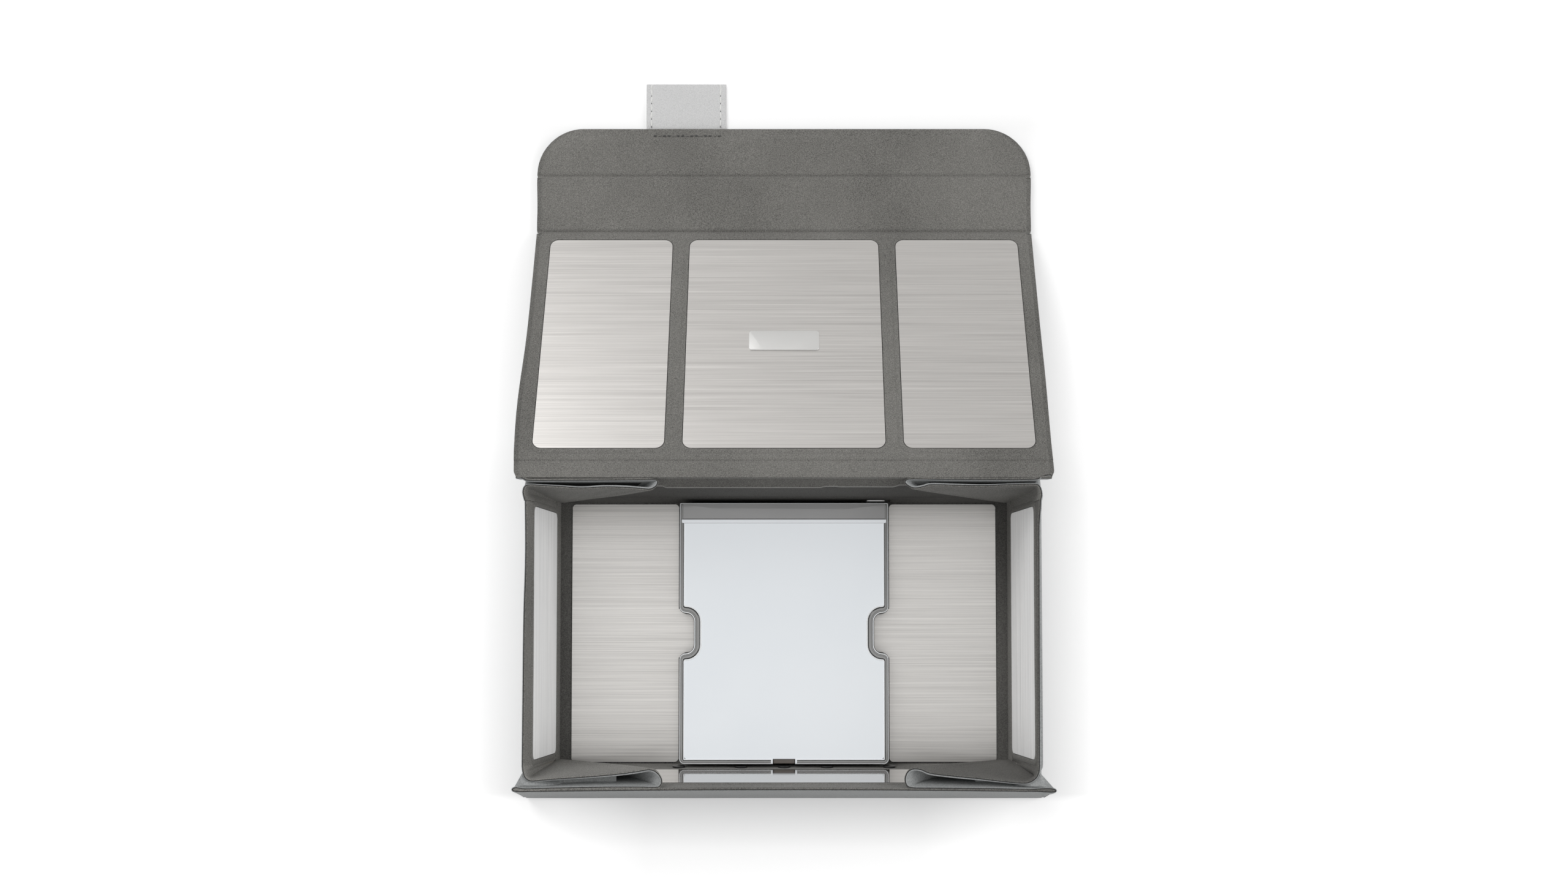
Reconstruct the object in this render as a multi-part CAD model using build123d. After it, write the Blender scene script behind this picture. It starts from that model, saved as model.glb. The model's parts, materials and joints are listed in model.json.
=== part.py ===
from build123d import *
import os
from math import cos, radians, sin, tan

# Collapsible cloth-covered box with a flat lamp unit on its floor and a lid thrown open behind it.
# Millimetres, +Z up, +Y towards the hinge. The origin is the centre of the base's underside.

# Box
BASE_X, BASE_Y = 131.0, 84.0        # half size of the foot of the outer cover
FLOOR_X, FLOOR_Y = 113.7, 66.3      # half size of the inside floor
RIM_Z = 69.5                        # top of the walls
LEAN = 5.2                          # degrees, how far the inside faces lean outwards
SIDE_FOLD_Z = 13.0                  # crease of the side walls
END_FOLD_Z = 20.5                   # crease of the front and rear walls, above the folded side walls
REAR_CREASE_Z = 45.2                # second crease, half way up the rear wall
SIDE_WALL = 66.0                    # half length of the side walls
END_WALL = 113.0                    # half length of the stiff part of the front and rear walls
TIP_X = 126.6                       # half length of the front rim over its folded tips

# Layers
CLOTH = 0.8                         # liner and cover cloth
BASE_CLOTH = 1.0                    # cover cloth under the base
BASE_BOARD = 2.0
WALL_BOARD = 1.2
LID_BOARD = 1.5
PLATE = 0.4                         # steel sheet
GAP = 0.3                           # cloth only, either side of a crease
BOARD_INSET = 1.5                   # a wall board's edge inside its cloth's
BOARD_TOP_Z = 63.0                  # the cloth above this is turned over the rim

# Steel plates and studs
FLOOR_PLATE = (53.5, 107.8)         # reach across, left and right of the lamp unit
FLOOR_PLATE_Y = 65.4
SIDE_PLATE_Y, SIDE_PLATE_Z = 60.0, (14.2, 60.0)
FRONT_PLATE_X, FRONT_PLATE_Z = 104.0, (22.6, 57.5)
STUDS_X = (-52.7, -21.5, 0.0, 21.5, 52.7)
STUD_RADIUS, STUD_HEIGHT, STUD_Z = 3.1, 0.9, 14.5
MAGNET_X, MAGNET_Z = 80.0, 29.0
MAGNET_WIDE, MAGNET_TALL = 16.0, 8.0

# Corner gussets
GUSSET_REACH = 60.0                 # how far the folds stop from the middle of the box
GUSSET_CLEAR = 0.9                  # between the plies and the wall
LOOP = 3.2                          # mean radius of the fold at the rim

# Lid and flap
LID_X = 127.3                       # half width of the lid
LID_LENGTH = 149.4
LID_SLOPE = 26.6                    # degrees below level while it lies open
LID_EDGE = 3.0                      # the lid's board inside its edges
LID_CREASE = 11.4                   # the lid's board starts this far from the hinge
LID_PLATE_Y = (16.4, 143.6)
LID_PLATES_X = {"left": (-119.5, -57.0), "centre": (-48.2, 48.2), "right": (57.0, 119.5)}
LID_PLATE_CORNER = 4.3
BADGE_X, BADGE_Y, BADGE_HEIGHT = 16.6, (74.2, 86.8), 1.3
HINGE_Y, HINGE_Z = 72.65, 70.1
STRIP_LENGTH = 29.0                 # first panel of the flap
END_LENGTH = 24.9                   # second panel of the flap
FLAP_CORNER = 20.0
FLAP_EDGE = 2.8                     # the flap's board inside its edges
TAB_X = (-71.3, -29.9)
TAB_END_Y = 284.1
TAB_THICK = 1.6
TAB_ROOT = 5.5                      # how far the tab is sewn in under the flap

# Lamp unit
UNIT_X = 52.5                       # half width
UNIT_FRONT, UNIT_REAR = -65.7, 65.3
UNIT_TOP, TRAY_TOP = 16.0, 13.2
UNIT_CORNER = 2.6
NOTCH_DEPTH, NOTCH_LENGTH = 8.1, 21.5
NOTCH_INNER, NOTCH_OUTER = 4.9, 3.2  # corner radii of the finger notches
FRAME_WIDTH = 2.6
TRAY_INSET, TRAY_WALL, TRAY_FLOOR = 0.5, 1.4, 1.2
HEADER_X, HEADER_FRONT = 49.7, 57.2
LEDGE = 1.8                         # clear bar between the panel and the header
BUTTON_X, BUTTON_DEPTH, BUTTON_Z = 5.4, 2.3, (10.4, 14.8)
TUBE_X, TUBE_Y, TUBE_Z = 24.0, -5.0, 9.6
TUBE_LENGTH, TUBE_RADIUS = 84.0, 2.0
REFLECTOR_Y, REFLECTOR_X, REFLECTOR_RADIUS = (-44.0, 34.0), 12.0, 5.4
PCB_X, PCB_Y, PCB_THICK = (-46.0, 49.5), (45.0, 62.7), 1.0
TRANSFORMER_X, TRANSFORMER_Y, TRANSFORMER_HEIGHT = (-30.0, -16.0), (47.0, 57.0), 5.8

# USB-C socket, with the plug's own sizes
PORT_X, PORT_Z = 46.6, 8.0
PORT_WINDOW = (14.6, 8.4)           # the way through the rear strip and cover
SHELL = (8.94, 3.26)
MOUTH = (8.34, 2.56)
SHELL_DEPTH, MOUTH_DEPTH = 7.4, 5.5
SHELL_END = UNIT_REAR + 1.8
BOSS_X, BOSS_Z, BOSS_CORNER = 6.2, 3.2, 2.4

# Levels and slopes worked out from them
BOARD_Z = BASE_CLOTH + BASE_BOARD
FLOOR_Z = BOARD_Z + CLOTH
LEAN_RISE = cos(radians(LEAN))
LEAN_OUT = tan(radians(LEAN))
WALL_TOP = (RIM_Z - FLOOR_Z) / LEAN_RISE
RIM_X = FLOOR_X + (RIM_Z - FLOOR_Z) * LEAN_OUT
RIM_Y = FLOOR_Y + (RIM_Z - FLOOR_Z) * LEAN_OUT
BOARD_DEPTH = (CLOTH, CLOTH + WALL_BOARD)
LID_THICK = 2 * CLOTH + LID_BOARD
FLAP_Y = HINGE_Y + LID_LENGTH * cos(radians(LID_SLOPE))
FLAP_FOLD_Y = FLAP_Y + STRIP_LENGTH
FLAP_END_Y = FLAP_FOLD_Y + END_LENGTH
UNIT_Y = (UNIT_FRONT + UNIT_REAR) / 2
LEFT, RIGHT, FRONT, REAR = (-1, 0), (1, 0), (0, -1), (0, 1)
FAR = 300.0                         # longer than anything it cuts


def both(half):
    return (-half, half)


def block(x, y, z):
    """A box from pairs of limits."""
    size = [b - a for a, b in (x, y, z)]
    return Pos(*[(a + b) / 2 for a, b in (x, y, z)]) * Box(*size)


def sheet(x, y, z, corner):
    """A flat sheet with rounded corners."""
    outline = RectangleRounded(x[1] - x[0], y[1] - y[0], corner)
    return Pos((x[0] + x[1]) / 2, (y[0] + y[1]) / 2, z[0]) * extrude(outline, z[1] - z[0])


def wall_plane(side):
    """Inside face of a wall: X along it, Y up it and Z outwards, from the middle of its foot."""
    out_x, out_y = side
    reach = FLOOR_X if out_x else FLOOR_Y
    rise, tilt = cos(radians(LEAN)), sin(radians(LEAN))
    up = Vector(out_x * tilt, out_y * tilt, rise)
    out = Vector(out_x * rise, out_y * rise, -tilt)
    return Plane(origin=(out_x * reach, out_y * reach, FLOOR_Z), x_dir=up.cross(out), z_dir=out)


def up_wall(z):
    """Distance up the leaning inside face at a height above the table."""
    return (z - FLOOR_Z) / LEAN_RISE


def group(solids):
    return Compound(children=list(solids))


def save(shape, node):
    export_step(shape, f"parts/{node}.step")


# --- Base, floor and the low strips that stand round it ---

def base():
    corner, edge, under = 2.0, 2.5, 2.5
    save(sheet(both(BASE_X), both(BASE_Y), (0, BASE_CLOTH), corner), "base_cover")
    board = sheet(both(BASE_X - edge), both(BASE_Y - edge), (BASE_CLOTH, BOARD_Z), corner)
    save(board, "base_board")
    save(block(both(FLOOR_X + under), both(FLOOR_Y + under), (BOARD_Z, FLOOR_Z)), "floor_liner")
    inner, outer = FLOOR_PLATE
    for node, x in (("floor_plate_left", (-outer, -inner)), ("floor_plate_right", (inner, outer))):
        save(sheet(x, both(FLOOR_PLATE_Y), (FLOOR_Z, FLOOR_Z + PLATE), corner), node)


def port_window():
    wide, tall = PORT_WINDOW
    margin = 4.0
    return block((PORT_X - wide / 2, PORT_X + wide / 2), (FLOOR_Y - margin, BASE_Y + margin),
                 (PORT_Z - tall / 2, PORT_Z + tall / 2))


def strips(depth, foot, shorter):
    """One layer of the four low strips, between two depths behind the inside face."""
    solids = []
    for side in (LEFT, RIGHT, FRONT, REAR):
        fold, half = (SIDE_FOLD_Z, FLOOR_Y) if side[0] else (END_FOLD_Z, FLOOR_X)
        strip = block(both(half - shorter), (foot, up_wall(fold) - GAP), depth)
        solids.append(wall_plane(side) * strip)
    solids[-1] = solids[-1] - port_window()
    return solids


def low_strips():
    save(group(strips((0, CLOTH), 0.1, 0.1)), "strip_liner")
    save(group(strips(BOARD_DEPTH, 0.2, BOARD_INSET)), "strip_boards")
    stud = Cylinder(STUD_RADIUS, STUD_HEIGHT)
    stud = fillet(stud.edges().group_by(Axis.Z)[0], 0.3)
    places = [wall_plane(FRONT) * Pos(x, up_wall(STUD_Z), -STUD_HEIGHT / 2) for x in STUDS_X]
    save(group(place * stud for place in places), "front_strip_studs")


# --- Walls ---

def panel(side, half, height, depth):
    """A rectangle of one wall layer, between two heights and two depths."""
    low, high = height
    return wall_plane(side) * block(both(half), (up_wall(low), up_wall(high)), depth)


def plate(side, half, height):
    """A steel plate with rounded corners on the inside face of a wall."""
    low, high = height
    corner = 3.0
    return wall_plane(side) * sheet(both(half), (up_wall(low), up_wall(high)), (-PLATE, 0), corner)


def magnet_pair(middle, depth):
    """Two flat magnets, as wide as they are apart from the middle of their panel."""
    tall = (middle - MAGNET_TALL / 2, middle + MAGNET_TALL / 2)
    return [block((x - MAGNET_WIDE / 2, x + MAGNET_WIDE / 2), tall, depth) for x in both(MAGNET_X)]


def side_walls():
    foot = SIDE_FOLD_Z + GAP
    for side, name in ((LEFT, "left_wall"), (RIGHT, "right_wall")):
        save(panel(side, SIDE_WALL, (foot, RIM_Z), (0, CLOTH)), f"{name}_liner")
        board = panel(side, SIDE_WALL - BOARD_INSET, (foot, BOARD_TOP_Z), BOARD_DEPTH)
        save(board, f"{name}_board")
        save(plate(side, SIDE_PLATE_Y, SIDE_PLATE_Z), f"{name}_plate")


def front_wall():
    foot = END_FOLD_Z + GAP
    save(panel(FRONT, END_WALL, (foot, RIM_Z), (0, CLOTH)), "front_wall_liner")
    board = panel(FRONT, END_WALL - BOARD_INSET, (foot, BOARD_TOP_Z), BOARD_DEPTH)
    held = [wall_plane(FRONT) * magnet for magnet in magnet_pair(up_wall(MAGNET_Z), BOARD_DEPTH)]
    save(board - held, "front_wall_board")
    save(group(held), "front_wall_magnets")
    save(plate(FRONT, FRONT_PLATE_X, FRONT_PLATE_Z), "front_wall_plate")


def rear_wall():
    below_lid = RIM_Z - 1.5
    lower = (END_FOLD_Z + GAP, REAR_CREASE_Z - GAP)
    upper = (REAR_CREASE_Z + GAP, below_lid)
    for name, height in (("rear_lower", lower), ("rear_upper", upper)):
        save(panel(REAR, END_WALL, height, (0, CLOTH)), f"{name}_liner")
        save(panel(REAR, END_WALL - BOARD_INSET, height, BOARD_DEPTH), f"{name}_board")


# --- Outer covers, from the base's edge up to the rim ---

def cover_section(foot, rim, top):
    """The slanting cover as (outward, z) corners, outer line first."""
    return [(foot, BASE_CLOTH), (rim, top), (rim - CLOTH, top), (foot - CLOTH, BASE_CLOTH)]


def side_covers():
    rim, foot_y = RIM_X + 2 * CLOTH, BASE_Y - 1.1
    ends = [(0, -foot_y, BASE_CLOTH), (0, foot_y, BASE_CLOTH), (0, SIDE_WALL, RIM_Z),
            (0, -SIDE_WALL, RIM_Z)]
    outline = extrude(make_face(Polyline(*ends, close=True)), FAR, both=True)
    for sign, name in ((-1, "left_outer_cover"), (1, "right_outer_cover")):
        corners = [(sign * x, 0, z) for x, z in cover_section(BASE_X, rim, RIM_Z)]
        slab = extrude(make_face(Polyline(*corners, close=True)), FAR, both=True)
        save(slab & outline, name)


def end_cover(sign, rim, top):
    corners = [(0, sign * y, z) for y, z in cover_section(BASE_Y, rim, top)]
    slab = extrude(make_face(Polyline(*corners, close=True)), FAR, both=True)
    ends = [(-BASE_X, 0, BASE_CLOTH), (BASE_X, 0, BASE_CLOTH), (TIP_X, 0, top), (-TIP_X, 0, top)]
    return slab & extrude(make_face(Polyline(*ends, close=True)), FAR, both=True)


def end_covers():
    behind_wall, under_lid = RIM_Y + 2 * CLOTH, RIM_Z - 9.5
    save(end_cover(-1, behind_wall + 0.3, RIM_Z), "front_outer_cover")
    save(end_cover(1, behind_wall + 1.3, under_lid) - port_window(), "rear_outer_cover")


# --- Corner gussets: each a folded double triangle that lies against the front or rear wall ---

def gusset(sign_x, side):
    """Both plies and the fold between them, cut along the crease from the floor corner."""
    back = -(GUSSET_CLEAR + CLOTH)
    front = back - 2 * LOOP
    centre, margin = GUSSET_REACH + LOOP, 9.0
    end, foot = RIM_X - 1.0, up_wall(FLOOR_Z + 1.0)
    plies = block((centre, end + 3.0), (foot, WALL_TOP), (back, back + CLOTH))
    plies += block((centre, end - 2.0), (foot, WALL_TOP), (front - CLOTH, front))
    ring = Cylinder(LOOP + CLOTH, WALL_TOP - foot) - Cylinder(LOOP, WALL_TOP - foot)
    ring = Rot(90, 0, 0) * ring & block((-margin, 0), both(WALL_TOP), both(margin))
    plies += Pos(centre, (foot + WALL_TOP) / 2, back - LOOP) * ring
    crease_x = GUSSET_REACH - 6.0
    crease = [(crease_x, WALL_TOP - 6.0), (crease_x, WALL_TOP), (end + margin, WALL_TOP),
              (end + margin, foot), (FLOOR_X - 1.5, foot)]
    triangle = make_face(Polyline(*[(x, y, 0) for x, y in crease], close=True))
    plies = plies & extrude(triangle, 20, both=True)
    if sign_x * (1 if side is FRONT else -1) < 0:
        plies = mirror(plies, Plane.YZ)
    beside = block(both(SIDE_WALL + 0.4), (-5, WALL_TOP + 5), (-0.6, 14))
    return wall_plane(side) * plies - wall_plane((sign_x, 0)) * beside


def gussets():
    for side, end in ((FRONT, "front"), (REAR, "rear")):
        for sign, hand in ((-1, "left"), (1, "right")):
            save(gusset(sign, side), f"gusset_{end}_{hand}")


# --- Lid and flap, modelled flat and then turned down about the hinge line ---

def lid_place(shape):
    """From the flat lid, its hinge line on X and its inside face at z = 0, to the open lid."""
    return Pos(0, HINGE_Y, HINGE_Z) * Rot(-LID_SLOPE, 0, 0) * shape


def lid():
    end, trim, hem = LID_LENGTH - GAP, 1.0, 4.8
    cover, board = (-LID_THICK, -LID_THICK + CLOTH), (-CLOTH - LID_BOARD, -CLOTH)
    save(lid_place(block(both(LID_X), (hem, end), cover)), "lid_cover")
    save(lid_place(block(both(LID_X), (trim, end), (-CLOTH, 0))), "lid_liner")
    stiff = block(both(LID_X - LID_EDGE), (LID_CREASE, end - trim), board)
    magnet = Pos(0, 134.0, -CLOTH - LID_BOARD / 2) * Cylinder(4.0, LID_BOARD)
    save(lid_place(stiff - magnet), "lid_board")
    save(lid_place(magnet), "lid_sensor_magnet")
    for name, x in LID_PLATES_X.items():
        save(lid_place(sheet(x, LID_PLATE_Y, (0, PLATE), LID_PLATE_CORNER)), f"lid_plate_{name}")
    badge = sheet(both(BADGE_X), BADGE_Y, (PLATE, PLATE + BADGE_HEIGHT), 4.0)
    badge = fillet(badge.faces().sort_by(Axis.Z)[-1].edges(), 0.6)
    save(lid_place(badge), "lid_badge")


def hinge_seam():
    """The cloth hem behind the rear wall that joins its cover to the lid's."""
    half, behind, below = 125.0, 1.9, (2.6, 9.8)
    tape = block(both(half), (HINGE_Y + behind, HINGE_Y + behind + CLOTH),
                 (HINGE_Z - below[1], HINGE_Z - below[0]))
    save(tape, "hinge_seam_tape")


def flap_layer(layer, z, inset, gap):
    """One layer of the flap's two panels; the second has rounded outer corners."""
    half = LID_X - inset
    strip = block(both(half), (FLAP_Y + gap, FLAP_FOLD_Y - gap), z)
    last = block(both(half), (FLAP_FOLD_Y + gap, FLAP_END_Y - inset), z)
    corners = last.edges().filter_by(Axis.Z).group_by(Axis.Y)[-1]
    save(strip, f"flap_{layer}")
    return fillet(corners, FLAP_CORNER - inset)


def flap():
    cover, board = (0, CLOTH), (CLOTH, CLOTH + LID_BOARD)
    clear = 0.2
    slot = block((TAB_X[0] - clear, TAB_X[1] + clear), (FLAP_END_Y - TAB_ROOT - clear, FAR), cover)
    save(flap_layer("cover", cover, 0, GAP) - slot, "flap_end_cover")
    save(flap_layer("liner", (board[1], LID_THICK), 0, GAP), "flap_end_liner")
    held = magnet_pair((FLAP_FOLD_Y + FLAP_END_Y) / 2, board)
    save(flap_layer("board", board, FLAP_EDGE, BOARD_INSET) - held, "flap_end_board")
    save(group(held), "flap_magnets")
    save(block(TAB_X, (FLAP_END_Y + 0.5, TAB_END_Y), (0, TAB_THICK)), "pull_tab")
    save(block(TAB_X, (FLAP_END_Y - TAB_ROOT, FLAP_END_Y + 0.4), cover), "pull_tab_root")


# --- Lamp unit ---

def unit_outline(inset):
    """Plan of the lamp unit with its two finger notches, drawn in by an inset."""
    edge, half = UNIT_X - inset, NOTCH_LENGTH / 2 + inset
    long = UNIT_REAR - UNIT_FRONT - 2 * inset
    outline = RectangleRounded(2 * edge, long, max(UNIT_CORNER - inset, 1.0))
    round_in, round_out = NOTCH_INNER + inset, max(NOTCH_OUTER - inset, 0.3)
    for sign in (-1, 1):
        outline -= Pos(sign * edge, 0) * RectangleRounded(2 * NOTCH_DEPTH, 2 * half, round_in)
        for end in (-1, 1):
            corner = Pos(sign * edge, end * half) * Rectangle(2 * round_out, 2 * round_out)
            centre = Pos(sign * (edge - round_out), end * (half + round_out))
            outline -= corner - centre * Circle(round_out)
    return outline


def unit_solid(inset, low, high):
    return Pos(0, UNIT_Y, low) * extrude(unit_outline(inset), high - low)


def button_slot():
    clear = 0.4
    return block(both(BUTTON_X + clear), (UNIT_FRONT - 1, UNIT_FRONT + BUTTON_DEPTH + 2 * clear - 0.2),
                 (BUTTON_Z[0] - 1.4, UNIT_TOP))


def tray():
    hollow_inset = TRAY_INSET + TRAY_WALL
    shell = unit_solid(TRAY_INSET, FLOOR_Z, TRAY_TOP)
    shell -= unit_solid(hollow_inset, FLOOR_Z + TRAY_FLOOR, TRAY_TOP)
    wide, tall = SHELL[0] + 0.26, SHELL[1] + 0.34
    port_hole = block((PORT_X - wide / 2, PORT_X + wide / 2), (UNIT_REAR - 6, UNIT_REAR + 3),
                      (PORT_Z - tall / 2, PORT_Z + tall / 2))
    save(shell - port_hole - button_slot(), "lamp_tray")


def top_frame():
    """The clear frame round the panel, with a bar in front of the header and a bed behind it."""
    height, clear = (TRAY_TOP, UNIT_TOP), 0.1
    frame = unit_solid(0, *height) - unit_solid(FRAME_WIDTH, *height)
    bar = (HEADER_FRONT - clear - LEDGE, HEADER_FRONT - clear)
    frame += block(both(UNIT_X - FRAME_WIDTH), bar, height)
    header = block(both(HEADER_X), (HEADER_FRONT, UNIT_REAR - 0.9), (TRAY_TOP, UNIT_TOP - 0.3))
    bed = block(both(HEADER_X + clear), (bar[1], UNIT_REAR - 0.9 + clear), height)
    save(frame - bed - button_slot(), "lamp_frame")
    save(fillet(header.edges().filter_by(Axis.Z), 0.8), "lamp_header")
    window = unit_solid(FRAME_WIDTH + clear, TRAY_TOP, UNIT_TOP - 0.5)
    window &= block(both(UNIT_X), (UNIT_FRONT, bar[0] - clear), (0, UNIT_TOP))
    save(window, "lamp_panel")


def start_button():
    clear = 0.2
    button = block(both(BUTTON_X), (UNIT_FRONT + clear, UNIT_FRONT + clear + BUTTON_DEPTH), BUTTON_Z)
    save(fillet(button.faces().sort_by(Axis.Z)[-1].edges(), 0.4), "start_button")


def lamps():
    inside = FLOOR_Z + TRAY_FLOOR
    tubes, holders, channels = [], [], []
    for x in both(TUBE_X):
        tube = Pos(x, TUBE_Y, TUBE_Z) * Rot(90, 0, 0) * Cylinder(TUBE_RADIUS, TUBE_LENGTH)
        trough = block((x - REFLECTOR_X, x + REFLECTOR_X), REFLECTOR_Y, (inside, inside + 5.0))
        hollow = Pos(x, TUBE_Y, TUBE_Z + 1.4) * Rot(90, 0, 0) * Cylinder(REFLECTOR_RADIUS, FAR)
        tubes.append(tube)
        channels.append(trough - hollow)
        for y in (TUBE_Y - TUBE_LENGTH / 2, TUBE_Y + TUBE_LENGTH / 2):
            holder = block((x - 3.5, x + 3.5), (y - 3.0, y + 3.0), (inside, TUBE_Z + 2.6))
            holders.append(holder - tube)
    save(group(tubes), "uv_tubes")
    save(group(channels), "reflectors")
    save(group(holders), "tube_holders")


def circuit():
    """Driver board with the lid's magnet sensor on it, and the transformer that stands on the board."""
    low = PORT_Z - 2.7
    top = low + PCB_THICK
    sensor = block(both(1.5), (49.0, 52.0), (top, top + 1.4))
    save(block(PCB_X, PCB_Y, (low, top)) + sensor, "driver_board")
    save(block(TRANSFORMER_X, TRANSFORMER_Y, (top, top + TRANSFORMER_HEIGHT)), "transformer")


def port_slot(size, end, depth):
    """A slot-shaped prism that ends at a place along Y and reaches back from it."""
    return Pos(PORT_X, end, PORT_Z) * Rot(90, 0, 0) * extrude(SlotOverall(*size), depth)


def socket():
    shell = port_slot(SHELL, SHELL_END, SHELL_DEPTH) - port_slot(MOUTH, SHELL_END, MOUTH_DEPTH)
    tongue = block((PORT_X - 3.3, PORT_X + 3.3), (SHELL_END - MOUTH_DEPTH, UNIT_REAR + 1.0),
                   (PORT_Z - 0.35, PORT_Z + 0.35))
    save(shell + tongue, "charging_socket")
    boss = block((PORT_X - BOSS_X, PORT_X + BOSS_X), (UNIT_REAR - 0.4, UNIT_REAR + 1.2),
                 (PORT_Z - BOSS_Z, PORT_Z + BOSS_Z))
    boss = fillet(boss.edges().filter_by(Axis.Y), BOSS_CORNER)
    room = (SHELL[0] + 0.16, SHELL[1] + 0.16)
    save(boss - port_slot(room, UNIT_REAR + 9, 18), "socket_surround")


if __name__ == "__main__":
    os.makedirs("parts", exist_ok=True)
    base()
    low_strips()
    side_walls()
    front_wall()
    rear_wall()
    side_covers()
    end_covers()
    gussets()
    lid()
    hinge_seam()
    flap()
    tray()
    top_frame()
    start_button()
    lamps()
    circuit()
    socket()
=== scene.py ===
import json
from math import copysign, cos, exp, hypot, radians, sin, tan

import bpy
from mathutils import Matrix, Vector, noise


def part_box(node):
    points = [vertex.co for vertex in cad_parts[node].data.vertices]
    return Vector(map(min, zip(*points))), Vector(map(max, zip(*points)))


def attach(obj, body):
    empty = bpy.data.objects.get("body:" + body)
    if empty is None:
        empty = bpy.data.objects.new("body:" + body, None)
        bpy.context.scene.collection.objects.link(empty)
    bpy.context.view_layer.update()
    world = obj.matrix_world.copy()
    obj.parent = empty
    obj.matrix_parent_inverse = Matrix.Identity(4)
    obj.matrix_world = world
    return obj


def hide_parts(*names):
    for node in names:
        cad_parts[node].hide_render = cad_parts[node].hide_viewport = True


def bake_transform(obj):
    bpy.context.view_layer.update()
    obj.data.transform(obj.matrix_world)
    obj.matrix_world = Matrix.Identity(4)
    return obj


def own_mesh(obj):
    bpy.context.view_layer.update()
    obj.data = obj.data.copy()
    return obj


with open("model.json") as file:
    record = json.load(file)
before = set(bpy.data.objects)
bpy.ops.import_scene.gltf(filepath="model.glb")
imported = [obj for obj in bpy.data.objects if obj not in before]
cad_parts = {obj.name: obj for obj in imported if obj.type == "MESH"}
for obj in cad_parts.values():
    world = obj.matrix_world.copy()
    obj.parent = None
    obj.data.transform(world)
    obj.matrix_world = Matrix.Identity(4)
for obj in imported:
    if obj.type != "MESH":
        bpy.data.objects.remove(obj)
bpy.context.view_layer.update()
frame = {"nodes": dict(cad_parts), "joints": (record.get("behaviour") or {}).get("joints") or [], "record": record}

# Lengths are in millimetres, and are turned into metres where a mesh is made.
MM = 0.001
UP = Vector((0, 0, 1))


def joint_place(name):
    joint = next(j for j in frame["joints"] if j["name"] == name)
    return Vector(joint["pos_m"]) / MM


def node_box(node):
    low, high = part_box(node)
    return Vector(low) / MM, Vector(high) / MM


# Box
LEAN = radians(5.2)                 # the walls lean outwards
FLOOR = node_box("floor_liner")[1].z
FOOT_X, FOOT_Y = 113.7, 66.3        # inside faces of the walls at the floor
BASE_X, BASE_Y = node_box("base_cover")[1].xy
SIDE_FOLD = abs(joint_place("left_wall_fold").z)
END_FOLD = joint_place("front_wall_fold").z
REAR_CREASE = joint_place("rear_upper_fold").z
END_HALF = node_box("front_wall_liner")[1].x      # half the width of the front and rear walls
PLATE = 0.4                         # thickness of the steel plates

# Lid, measured along its slope from the hinge line
HINGE = joint_place("lid_hinge")
FLAP_HINGE = joint_place("flap_hinge")
FLAP_FOLD_Y = joint_place("flap_end_hinge").y
LID_X = node_box("lid_liner")[1].x  # half its width
LID_SLOPE = radians(26.6)
LID_END = 148.9                     # its cloth stops here, short of the flap
LID_CREASE = 9.6                    # pressed line beside its hinge
LID_PRESS = 146.2                   # pressed line along its front edge
LID_THICK = 3.1

# Lamp unit
UNIT_X, UNIT_REAR, UNIT_TOP = node_box("lamp_frame")[1]
UNIT_FRONT, TRAY_TOP = node_box("lamp_frame")[0].yz
UNIT_MIDDLE = (UNIT_FRONT + UNIT_REAR) / 2
HEADER_FRONT = node_box("lamp_header")[0].y


# --- Small tools ---

def lerp(a, b, t):
    return a + (b - a) * t


def smooth(low, high, x):
    """0 below low and 1 above high, with a soft step between them."""
    t = min(max((x - low) / (high - low), 0.0), 1.0)
    return t * t * (3 - 2 * t)


def ripple(x, y, size, seed=0.0):
    """A gentle unevenness between -1 and 1, the same on each run."""
    return noise.noise(Vector((x / size, y / size, seed)))


def curve_through(points, per_span):
    """A smooth line through points of any dimension, per_span steps to each stretch."""
    line = []
    last = len(points) - 1
    for i in range(last):
        p0, p1, p2, p3 = (points[min(max(k, 0), last)] for k in (i - 1, i, i + 1, i + 2))
        for step in range(per_span):
            t = step / per_span
            line.append([0.5 * (2 * b + (c - a) * t + (2 * a - 5 * b + 4 * c - d) * t ** 2
                                + (3 * b - a - 3 * c + d) * t ** 3)
                         for a, b, c, d in zip(p0, p1, p2, p3)])
    line.append(list(points[-1]))
    return line


class Shape:
    """Points and faces of one piece, with a finish for each face."""

    def __init__(self):
        self.points, self.faces, self.finishes = [], [], []

    def add(self, points):
        first = len(self.points)
        self.points.extend(Vector(p) for p in points)
        return list(range(first, len(self.points)))

    def face(self, corners, finish=0):
        self.faces.append(tuple(corners))
        self.finishes.append(finish)

    def strip(self, first, second, finish=0, closed=False):
        """Faces between two rows of points."""
        count = len(first)
        for i in range(count if closed else count - 1):
            k = (i + 1) % count
            self.face((first[i], first[k], second[k], second[i]), finish)

    def net(self, rows, finish=0, closed=False):
        """A surface through rows of points, with one finish for all of it or one for each strip."""
        made = [self.add(row) for row in rows]
        for i, (near, far) in enumerate(zip(made, made[1:])):
            self.strip(near, far, finish if isinstance(finish, int) else finish[i], closed)
        return made

    def build(self, name, body, slot, finishes, sharp=35):
        mesh = bpy.data.meshes.new(name)
        mesh.from_pydata([p * MM for p in self.points], [], self.faces)
        for finish in finishes:
            mesh.materials.append(finish)
        mesh.polygons.foreach_set("material_index", self.finishes)
        mesh.polygons.foreach_set("use_smooth", [True] * len(self.faces))
        mesh.set_sharp_from_angle(angle=radians(sharp))
        piece = bpy.data.objects.new(name, mesh)
        bpy.context.scene.collection.objects.link(piece)
        if body:
            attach(piece, body)
        return piece


# --- Shader groups ---

GREY = (0.5, 0.5, 0.5, 1.0)


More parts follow.
